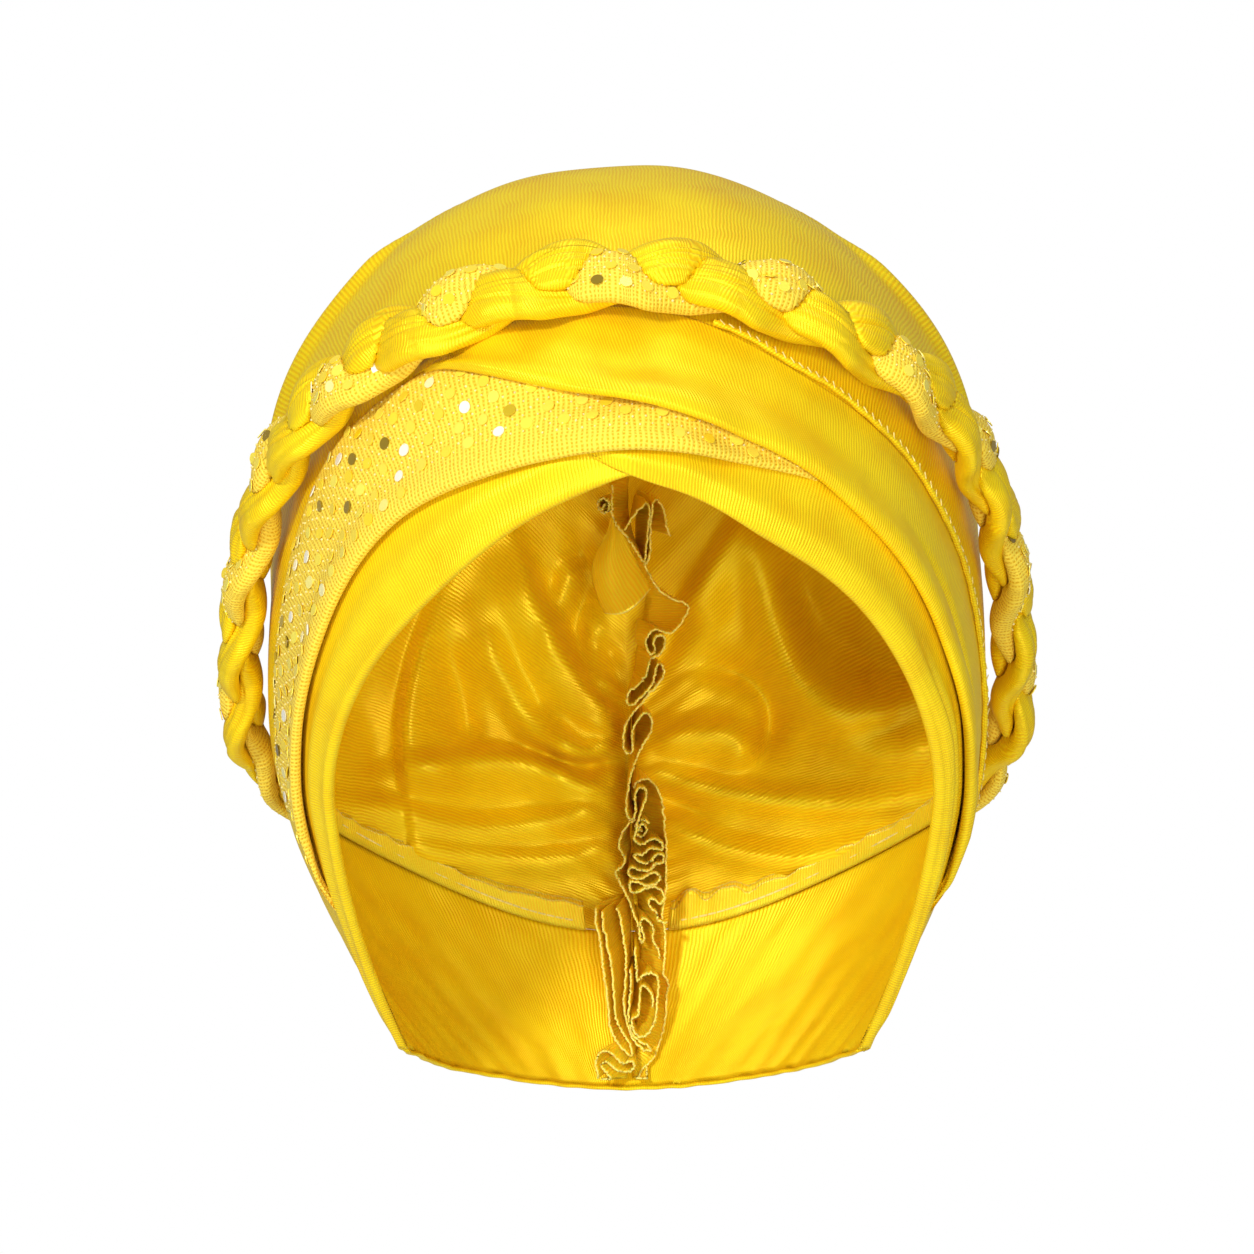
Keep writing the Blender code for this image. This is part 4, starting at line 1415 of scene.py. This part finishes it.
# Turns of the gathered back seam's raw edges, from the top of the opening down to the nape
RUFFLE_EDGES = (
    EdgePath(
        (
            (-4.2, -84.0), (-4.0, -93.3), (-0.6, -98.6), (3.0, -103.4), (6.0, -109.0), (9.5, -114.5),
            (13.5, -117.0), (17.8, -119.2), (16.7, -122.0), (12.6, -126.8), (8.6, -125.8),
            (6.1, -127.3), (5.5, -130.6), (7.0, -133.0), (8.1, -131.3), (7.7, -129.2), (8.9, -127.5),
            (10.8, -127.9), (10.9, -130.4), (9.3, -133.0), (6.7, -134.6), (5.5, -138.9),
            (2.7, -142.1), (0.0, -145.0), (0.7, -147.5), (4.1, -145.3), (7.7, -140.8), (8.3, -137.3),
            (9.2, -135.6), (10.6, -137.0), (10.3, -139.5), (7.2, -143.6), (3.5, -148.0),
            (0.0, -152.4), (-1.2, -157.7), (-0.4, -161.2), (1.3, -161.2), (1.6, -155.8),
            (3.5, -151.3), (5.7, -149.9), (7.2, -151.8), (6.5, -155.8), (4.1, -159.9), (2.5, -163.8),
            (1.0, -168.4), (-0.2, -178.4), (1.1, -180.8), (2.4, -179.1), (2.3, -174.7),
            (3.8, -171.4), (5.6, -172.7), (5.1, -175.6), (3.4, -180.3), (1.9, -186.6),
        ),
        87.0,
    ),
    EdgePath(
        (
            (1.9, -171.7), (4.4, -169.1), (7.6, -170.3), (10.1, -175.3), (11.0, -184.1),
            (11.5, -191.0), (11.3, -198.0), (11.2, -203.4), (10.3, -208.5), (11.2, -215.2),
            (10.9, -221.6), (10.9, -226.0), (12.0, -228.6), (11.5, -231.5), (11.2, -237.7),
            (9.5, -245.2), (7.4, -250.0), (4.2, -253.2), (2.8, -257.0), (2.9, -259.7),
            (4.9, -259.9), (5.8, -257.5), (5.5, -252.2),
        ),
        91.0,
    ),
    EdgePath(
        (
            (4.2, -184.2), (3.5, -183.8), (3.5, -182.7), (4.4, -181.9), (5.4, -182.7),
            (5.5, -184.4), (4.2, -185.8), (2.9, -185.2), (2.4, -183.2), (3.2, -181.3), (4.7, -180.6),
            (6.4, -182.0),
        ),
        89.0,
    ),
    EdgePath(
        (
            (2.0, -186.8), (4.2, -187.9), (6.3, -186.8), (7.9, -186.3), (10.1, -187.6),
            (9.8, -189.5), (6.9, -188.9), (4.7, -190.8), (2.0, -190.8), (3.1, -192.6), (6.3, -193.2),
            (8.3, -191.1), (10.6, -191.4), (9.8, -193.4), (8.1, -193.6), (7.1, -194.9),
            (4.2, -195.6), (1.2, -194.6), (0.4, -196.4), (3.6, -197.8), (7.4, -196.2),
            (9.5, -197.2), (8.3, -199.3), (4.2, -199.4), (1.0, -198.6), (1.6, -201.9),
            (4.7, -200.9), (8.5, -200.4), (10.8, -202.9), (9.5, -205.0), (7.4, -203.4),
            (6.3, -205.2), (8.5, -207.7), (9.0, -209.8), (11.4, -210.4),
        ),
        88.0,
    ),
    EdgePath(
        (
            (2.6, -180.9), (-0.9, -183.6), (-2.3, -188.9), (-0.9, -191.3), (-1.2, -194.0),
            (-3.2, -196.2), (-2.0, -199.1), (0.4, -203.9), (2.6, -209.8), (3.6, -213.0),
            (4.2, -216.5), (4.9, -214.9), (3.8, -210.9), (4.9, -209.5), (7.9, -212.8),
            (7.4, -214.8), (9.0, -218.4), (9.6, -221.4),
        ),
        90.0,
    ),
    EdgePath(
        (
            (-9.2, -206.1), (-9.0, -210.4), (-7.9, -215.2), (-7.1, -222.2), (-6.0, -230.2),
            (-5.2, -237.7), (-3.9, -243.1), (-1.2, -246.8), (1.0, -248.7), (1.3, -246.6),
            (-1.7, -241.4), (-3.3, -236.1), (-4.1, -228.0), (-4.9, -220.5), (-6.5, -213.0),
            (-7.2, -207.0),
        ),
        86.0,
    ),
    EdgePath(
        (
            (-2.8, -206.1), (-1.5, -212.0), (-0.6, -218.4), (-0.5, -227.0), (-0.9, -234.5),
            (0.4, -240.9), (3.1, -245.7), (6.7, -247.3), (5.8, -245.6), (2.2, -243.2),
            (0.4, -237.7), (0.9, -231.3), (1.0, -224.0),
        ),
        87.0,
    ),
    EdgePath(
        (
            (2.3, -217.3), (2.7, -223.8), (3.0, -227.0), (4.2, -226.2), (6.3, -224.8), (8.7, -225.6),
            (8.9, -231.0), (8.4, -236.6), (6.9, -240.9), (4.2, -243.1), (2.0, -241.4),
            (1.4, -237.9), (2.8, -237.4), (3.6, -232.3), (4.5, -228.4), (6.9, -230.7),
            (7.4, -234.8),
        ),
        85.0,
    ),
    EdgePath(
        (
            (-8.4, -254.8), (-8.7, -248.9), (-6.5, -247.3), (-3.9, -248.4), (-0.9, -250.6),
            (1.2, -250.0), (1.8, -251.9), (-0.1, -253.2), (-3.9, -251.8), (-6.3, -250.3),
            (-7.4, -251.3), (-6.0, -253.2), (-4.7, -255.9), (-5.2, -258.3), (-6.6, -257.0),
            (-7.4, -255.4),
        ),
        84.0,
        97.0,
    ),
    EdgePath(
        (
            (-7.4, -91.8), (-6.2, -92.2), (-5.2, -90.4), (-5.8, -88.4), (-7.4, -88.0),
            (-8.4, -89.4), (-8.0, -91.0), (-6.9, -90.8), (-6.6, -89.6),
        ),
        84.0,
    ),
    EdgePath(
        (
            (-0.8, -97.0), (2.4, -92.4), (5.7, -89.4), (6.6, -91.0), (6.1, -96.7), (5.4, -106.8),
            (6.4, -104.0), (7.0, -94.0), (8.3, -88.3), (10.4, -90.6), (11.4, -95.0), (12.5, -99.0),
        ),
        86.0,
    ),
)


@dataclass
class SeamAllowances:
    """The raw seam allowances inside the hat: gathered down the back, laid up along the nape."""

    cloth: float = 0.55
    per_turn: int = 9
    depth_rows: int = 9
    nape_depth: float = 6.3
    lowest: float = -255.0  # mm, just above the hem
    clear: float = 2.6  # mm between the gathers' foot and the middle of the wall behind them
    # a copy of the satin whose bright and deep colours are paler, as painted light for the light that
    # bounces inside the hat
    satin: SatinKnit = SatinKnit(
        name="cut_satin_painted_lighter", bright="#FFE12E", deep="#FFCA1A", slope=0.12, fray=0.45, glow=0.5
    )

    def ribbon(self, edge: EdgePath) -> Cloth:
        """One ply from its raw edge in front back to the seam."""
        turns = np.array(edge.turns)
        knots = np.concatenate([[0], np.cumsum(np.linalg.norm(np.diff(turns, axis=0), axis=1) ** 0.5)])
        share = np.linspace(0, knots[-1], self.per_turn * len(turns))
        line = Cubic(knots, turns)(share)
        back = np.linspace(0, 1, self.depth_rows)[:, None]
        sway = Noise(3, 26.0)(line[:, 1], line[:, 0])[None, :]
        fray = np.random.default_rng(len(turns)).normal(0, 0.16, (3, len(share)))
        x = line[None, :, 0] * (1 - 0.75 * back**1.6) + 2.0 * sway * back * (1 - back)
        x = x + (1.2 * back + fray[0] * (1 - back) ** 3)
        z = line[None, :, 1] + 3.2 * back + fray[1] * (1 - back) ** 3
        z = np.maximum(z, self.lowest)
        rise = 1.1 * Noise(9, 9.0)(line[:, 1], line[:, 0]) + 1.5 * fray[2]
        front = edge.front - 0.07 * np.maximum(-206 - line[None, :, 1], 0) + rise * (1 - back)
        down = np.linspace(0.45, 1, 90)
        wall = FORM.at(down, 0 * down + 1, 0 * down)
        behind = np.interp(-z[-1], -wall[:, 2], wall[:, 1]) - self.clear
        foot = np.minimum(edge.foot, behind[None, :])
        front = np.minimum(front, foot - 3.0)
        y = front + (foot - front) * back
        return Cloth(np.stack([x, y, z], axis=-1)[:, ::-1])

    def flap(self) -> Cloth:
        """The wide flap at the top, whose raw end hangs towards the opening."""
        across = np.linspace(0, 1, 26)[None, :]
        down = np.linspace(0, 1, 36)[:, None]
        left_x, left_z = -4.7 - 6.0 * smooth(0, 0.6, down) + 4.5 * down**4, -93.0 - 28.0 * down
        right_x, right_z = -3.6 + 10.4 * down, -93.4 - 20.6 * down
        x = left_x + (right_x - left_x) * across
        z = left_z + (right_z - left_z) * across - 3.0 * down * np.sin(math.pi * across)
        y = 89.0 - 5.5 * np.sin(math.pi * across) * down - 3.0 * down + 0.5 * np.sin(9 * across + 4 * down)
        points = np.stack(np.broadcast_arrays(x, y, z), axis=-1)
        return Cloth(points[::-1])

    def ruffle(self) -> Piece:
        """The gathered allowance down the back."""
        cloths = [self.ribbon(edge) for edge in RUFFLE_EDGES] + [self.flap()]
        piece = sheets("back_seam_gathers", cloths, self.cloth)
        fit_out(piece, self.satin, "satin_inside", "back_seam_ruffle")
        return piece

    def nape_ply(self, half: int, stand: float, wave: float, top: float, phase: float) -> Cloth:
        """One ply of the nape seam's allowance.

        Args:
            half: -1 for the left half, 1 for the right.
            stand: how far its raw edge stands in from the crown, in millimetres.
            wave: how far it waves in and out, in millimetres.
            top: how far up the raw edge reaches from the stitches, in millimetres.
            phase: where its waves start.

        Returns:
            The ply, raw edge first.
        """
        v = np.linspace(0.10, 0.945, 260)[None, :]
        out = np.linspace(0, 1, 8)[:, None]
        run = v * FORM.depth
        middle = smooth(0.74, 0.92, v)
        near = 0.15 + 0.85 * middle if half > 0 else 0.15
        curl = np.sin(run / 2.4 + phase + 1.2 * Noise(5, 40.0)(run, 0 * run))
        curl = curl + 0.4 * np.sin(run / 1.5 + 2 * phase)
        draw = np.random.default_rng(round(10 * top))
        frayed = draw.normal(0, 0.10, run.shape)
        rise = top + (4.0 if half > 0 else 2.5) * middle + frayed + 0.5 * np.sin(run / 14 + phase)
        lift = 0.9 - (rise + 0.9 + wave * near * curl * out) * out
        edge = FORM.nape_seam(v) + lift / FORM.half_arch
        height = -1.5 - stand * out**1.3 - (wave * near * curl + 0.5 * np.sin(run / 9)) * out
        height = np.minimum(height, -0.2 - 1.3 * smooth(0, 0.35, out))
        points = FORM.at(half * edge, v, height)
        return Cloth(points[::-1] if half > 0 else points[::-1, ::-1])

    def nape(self, half: int) -> Piece:
        """The allowance of one half of the nape seam."""
        side = "right" if half > 0 else "left"
        plies = [
            self.nape_ply(half, stand=0.9, wave=1.2, top=self.nape_depth, phase=0.4),
            self.nape_ply(half, stand=2.8, wave=1.7, top=self.nape_depth - 2.0, phase=0.8),
        ]
        piece = sheets(f"nape_allowance_{side}", plies, self.cloth)
        fit_out(piece, self.satin, "satin_inside", f"nape_seam_{side}")
        return piece

    def stitches(self) -> Piece:
        """The rows of stitches that hold the allowances."""
        stitch = Scatter(
            "nape_stitches", Repeats.STITCH, radius=0.28, length=2.3, tilt=0.0, seed=5, finish=THREAD
        )
        points, ways = [], []
        for half in (-1, 1):
            v = np.arange(0.16, 0.93, 0.0125)
            edge = FORM.nape_seam(v) - 1.6 / FORM.half_arch
            points.append(FORM.at(half * edge, v, 0 * v - 2.6))
            ways.append(unit(np.gradient(points[-1], axis=0)))
        return stitch.over(np.concatenate(points), np.concatenate(ways), {})


@dataclass
class Piping:
    """The satin wrap's cut edge, rolled to a cord beside the braid, with its loose stitches."""

    radius: float = 0.9
    start: float = 0.09
    end: float = 0.70
    out: float = 0.003
    rings: int = 420
    sides: int = 14

    def line(self, wrap: WrappedBand, stack: LayerStack) -> tuple[Array, Array]:
        """Its middle line and the way out of the hat along it."""
        u = np.linspace(self.start, self.end, self.rings)
        v = wrap.far(u) + self.out + 0.0012 * np.sin(u * 61)
        bed = stack.read(stack.bed(2), u, v)
        height = np.minimum(bed, wrap.loft + 3.2) + self.radius
        return FORM.at(u, v, height), FORM.normal(u, v)

    def build(self, wrap: WrappedBand, stack: LayerStack) -> list[Piece]:
        """The cord and the stitches over it."""
        line, out = self.line(wrap, stack)
        ahead, out, side = frames(line, out)
        angle = np.linspace(0, math.tau, self.sides + 1)[:, None, None]
        thick = self.radius * (0.9 + 0.1 * np.sin(np.arange(self.rings) / 3.1))[None, :, None]
        points = line[None] + thick * (np.cos(angle) * side[None] + np.sin(angle) * out[None])
        piece = Cloth(points).build("piping_satin", 0.5)
        fit_out(piece, SATIN[Lay.CONTRARY], "satin", "wrap_piping")
        stitch = Scatter(
            "piping_stitches", Repeats.STITCH, radius=0.15, length=1.8, tilt=0.3, seed=8, finish=THREAD
        )
        places = np.arange(6, self.rings - 6, 7)
        way = unit(ahead[places] + 0.9 * side[places])
        tops = line[places] + self.radius * 0.95 * out[places] - self.radius * 0.3 * side[places]
        return [piece, stitch.over(tops, way, {})]


@dataclass
class SequinField:
    """Sequins and thread knots over one stretch of net."""

    name: str
    spacing: float = 8.6  # mm from sequin to sequin
    knot_spacing: float = 3.6
    edge_gap: float = 6.9  # mm between the sequins on the fold
    fold_row: float = 17.0  # the grid row of the net that lies just behind its rolled edge
    radius: float = 1.65
    thickness: float = 0.25
    tilt: float = 0.16  # radians that a sequin leans at most
    sequin_lift: float = 0.35  # mm from the net to a sequin's middle
    knot_lift: float = 0.15
    seed: int = 21

    def _staggered(self, length: float, low: float, high: float, gap: float) -> tuple[Array, Array]:
        """Places in rows, each second row half a step along."""
        draw = np.random.default_rng(self.seed + int(gap * 10))
        rows = np.arange(low, high, gap * 0.62)
        along, across = [], []
        for k, row in enumerate(rows):
            steps = np.arange(gap * (0.5 if k % 2 else 1.0), length, gap)
            along.append(steps + draw.normal(0, 0.07 * gap, len(steps)))
            across.append(row + draw.normal(0, 0.06 * gap, len(steps)))
        return np.concatenate(along), np.concatenate(across)

    def _place(self, cloth: Cloth, along: Array, across: Array) -> tuple[Array, Array]:
        """The grid row and column of places measured along and across the cloth."""
        rows, columns = cloth.points.shape[:2]
        column = np.interp(along, cloth.pattern[rows // 2, :, 0], np.arange(columns))
        near = np.clip(np.round(column).astype(int), 0, columns - 1)
        row = np.array(
            [np.interp(d, cloth.pattern[:, c, 1], np.arange(rows)) for d, c in zip(across, near)]
        )
        return row, column

    def cover(
        self, cloth: Cloth, first_row: int, last_row: int, keep: Callable[[Array, Array], Array],
        edge: tuple[float, float] | None = None,
    ) -> list[Piece]:
        """Sequins and knots on the rows of a cloth that keep allows.

        Args:
            cloth: the net's surface.
            first_row: the first grid row that may carry them.
            last_row: the last.
            keep: gives for rows and columns whether the place is free.
            edge: from where to where along the cloth a row of sequins sits on its fold.

        Returns:
            The two pieces.
        """
        low = float(cloth.pattern[first_row, :, 1].min())
        high = float(cloth.pattern[last_row, :, 1].max())
        pieces = []
        for knots in (False, True):
            gap = self.knot_spacing if knots else self.spacing
            along, across = self._staggered(cloth.length, low, high, gap)
            row, column = self._place(cloth, along, across)
            free = (row > first_row) & (row < last_row) & keep(row, column)
            row, column = row[free], column[free]
            if edge and not knots:
                fold = np.arange(*edge, self.edge_gap)
                steps = np.interp(fold, cloth.pattern[0, :, 0], np.arange(cloth.points.shape[1]))
                row = np.concatenate([row, np.full(len(fold), self.fold_row)])
                column = np.concatenate([column, steps])
            point, normal = cloth.sample(row, column)
            draw = np.random.default_rng(self.seed + 50 + knots)
            count = len(point)
            if knots:
                values = {"size": draw.uniform(0.7, 1.25, count)}
                shape = Scatter(f"{self.name}_knots", Repeats.KNOT, 0.3, 0.8, 0.0, 3, PALE_THREAD)
            else:
                # each sequin's random shade number picks its painted reflection
                values = {"shade": draw.uniform(0, 1, count), "size": draw.uniform(0.92, 1.06, count)}
                shape = Scatter(
                    f"{self.name}_sequins", Repeats.DISC, self.radius, self.thickness, self.tilt,
                    self.seed, FOIL,
                )
            lift = self.knot_lift if knots else self.sequin_lift
            pieces.append(shape.over(point + lift * normal, normal, values))
        return pieces


class Panel(NamedTuple):
    """A round white light: where it stands and how wide it is, in metres, and its watts."""

    name: str
    place: tuple[float, float, float]
    size: float
    power: float


@dataclass
class Studio:
    """A pale floor, soft light and the camera at the photograph's place."""

    camera_place: tuple[float, float, float] = (0.0, -1.3, -0.125)
    focal_pixels: float = 4800.0
    image_pixels: float = 1254.0
    floor_z: float = -0.75
    ambient: float = 0.34
    aim: tuple[float, float, float] = (0.0, 0.0, -0.14)
    panels: tuple[Panel, ...] = (
        Panel("key", (-0.75, -1.4, 0.45), 0.2, 17.0),
        Panel("front", (0.35, -1.75, -0.2), 0.5, 11.0),
        Panel("top", (0.2, -0.2, 1.2), 0.7, 5.0),
    )

    def camera(self) -> None:
        """Looks level along +Y."""
        data = bpy.data.cameras.new("front")
        data.sensor_width = 36.0
        data.lens = 36.0 * self.focal_pixels / self.image_pixels
        data.clip_start = 0.05
        data.clip_end = 50.0
        view = add_object("front", data)
        view.location = self.camera_place
        view.rotation_euler = (math.pi / 2, 0.0, 0.0)
        bpy.context.scene.camera = view

    def _panel(self, panel: Panel) -> None:
        """A round soft light that looks at the hat."""
        data = bpy.data.lights.new(panel.name, "AREA")
        data.shape = "DISK"
        data.size = panel.size
        data.energy = panel.power
        light = add_object(panel.name, data)
        light.location = panel.place
        aim = Vector(self.aim) - Vector(panel.place)
        light.rotation_euler = aim.to_track_quat("-Z", "Y").to_euler()

    def build(self) -> None:
        """Floor, world, lights and camera."""
        world = bpy.data.worlds.new("studio")
        world.use_nodes = True
        background = world.node_tree.nodes["Background"]
        seen = add_node(world.node_tree, "ShaderNodeLightPath").outputs["Is Camera Ray"]
        strength = add_node(
            world.node_tree, "ShaderNodeMapRange",
            {"Value": seen, "To Min": self.ambient, "To Max": 1.0},
        ).outputs["Result"]
        feed(world.node_tree, background, {"Color": linear("#FFFFFF"), "Strength": strength})
        bpy.context.scene.world = world
        bpy.context.scene.view_settings.view_transform = "Standard"
        mesh = bpy.data.meshes.new("floor")
        ends = [(-3, -3), (3, -3), (3, 3), (-3, 3)]
        mesh.from_pydata([(x, y, self.floor_z) for x, y in ends], [], [(0, 1, 2, 3)])
        floor = add_object("floor", mesh)
        paper = bpy.data.materials.new("matt_paper")
        paper.use_nodes = True
        shader = paper.node_tree.nodes["Principled BSDF"]
        feed(paper.node_tree, shader, {"Base Color": linear("#F4F4F2"), "Roughness": 0.9})
        floor.data.materials.append(paper)
        for panel in self.panels:
            self._panel(panel)
        self.camera()


def bands() -> dict[str, WrappedBand]:
    """The folded bands in the order in which they are laid."""
    return {
        "face_left": WrappedBand(
            "face_band_left_satin", "face_band_left", LEFT_FACE_BAND, SATIN[Lay.ACROSS], "satin",
            (0.028, 0.273), loft=1.6, puff=1.4, puff_at=0.45, opens=(-1.3, -0.03), seed=2,
        ),
        "face_right": WrappedBand(
            "face_band_right_satin", "face_band_right", RIGHT_FACE_BAND, SATIN[Lay.ACROSS], "satin",
            (0.030, 0.269), loft=1.8, puff=1.4, puff_at=0.25, opens=(0.15, 1.3), seed=3,
            pleats=(Pleat(0.36, 0.42, 1.2, 2.2, 0.07), Pleat(0.66, 0.50, 1.2, 2.0, 0.07)),
        ),
        "sequin": WrappedBand(
            "sequin_wrap_net", "sequin_wrap", SEQUIN_WRAP, NET, "sequin_cloth",
            (0.037, 0.300), loft=2.2, puff=1.5, puff_at=0.10, tuck_in=3.2, seed=5,
        ),
        "satin": WrappedBand(
            "satin_wrap_satin", "satin_wrap", SATIN_WRAP, SATIN[Lay.LEANING], "satin",
            (0.036, 0.300), loft=2.0, puff=2.0, puff_at=0.12, tuck_in=3.2, seed=6,
            pleats=(Pleat(0.40, 0.34, 1.2, 1.5, 0.05),),
        ),
    }


def main() -> None:
    """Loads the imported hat, dresses every part of it and sets it in the studio."""
    logging.basicConfig(level=logging.INFO, format="%(message)s")
    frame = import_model()
    LOG.info("%d solids to dress", len(frame["nodes"]))
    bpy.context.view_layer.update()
    crown = Crown()
    crown.build()
    NapeBand().build()
    stack = LayerStack(ground=0.5 * crown.cloth)
    laid = bands()
    for band in laid.values():
        band.lay(stack)
    Piping().build(laid["satin"], stack)
    braid = Braid(crown)
    sequined, free = braid.strand(0)
    braid.build("braid_strand_net", 0, "braid_strand_sequin", NET, "sequin_cloth")
    braid.build("braid_strand_front_satin", 1, "braid_strand_front", SATIN[Lay.LEANING], "satin")
    braid.build("braid_strand_rear_satin", 2, "braid_strand_rear", SATIN[Lay.CONTRARY], "satin")
    allowances = SeamAllowances()
    allowances.ruffle()
    allowances.nape(-1)
    allowances.nape(1)
    allowances.stitches()
    wrap = laid["sequin"].surface
    rows = wrap.points.shape[0]
    SequinField("wrap").cover(wrap, 20, rows - 2, lambda row, column: row > 0, edge=(24.0, 160.0))

    def open_face(row: Array, column: Array) -> Array:
        """Whether the strand's net is in the open there."""
        return free[np.round(column).astype(int), np.round(row).astype(int)] > 0.85

    SequinField("braid", seed=33).cover(sequined, 4, 32, open_face)
    Studio().build()


if __name__ == "__main__":
    main()
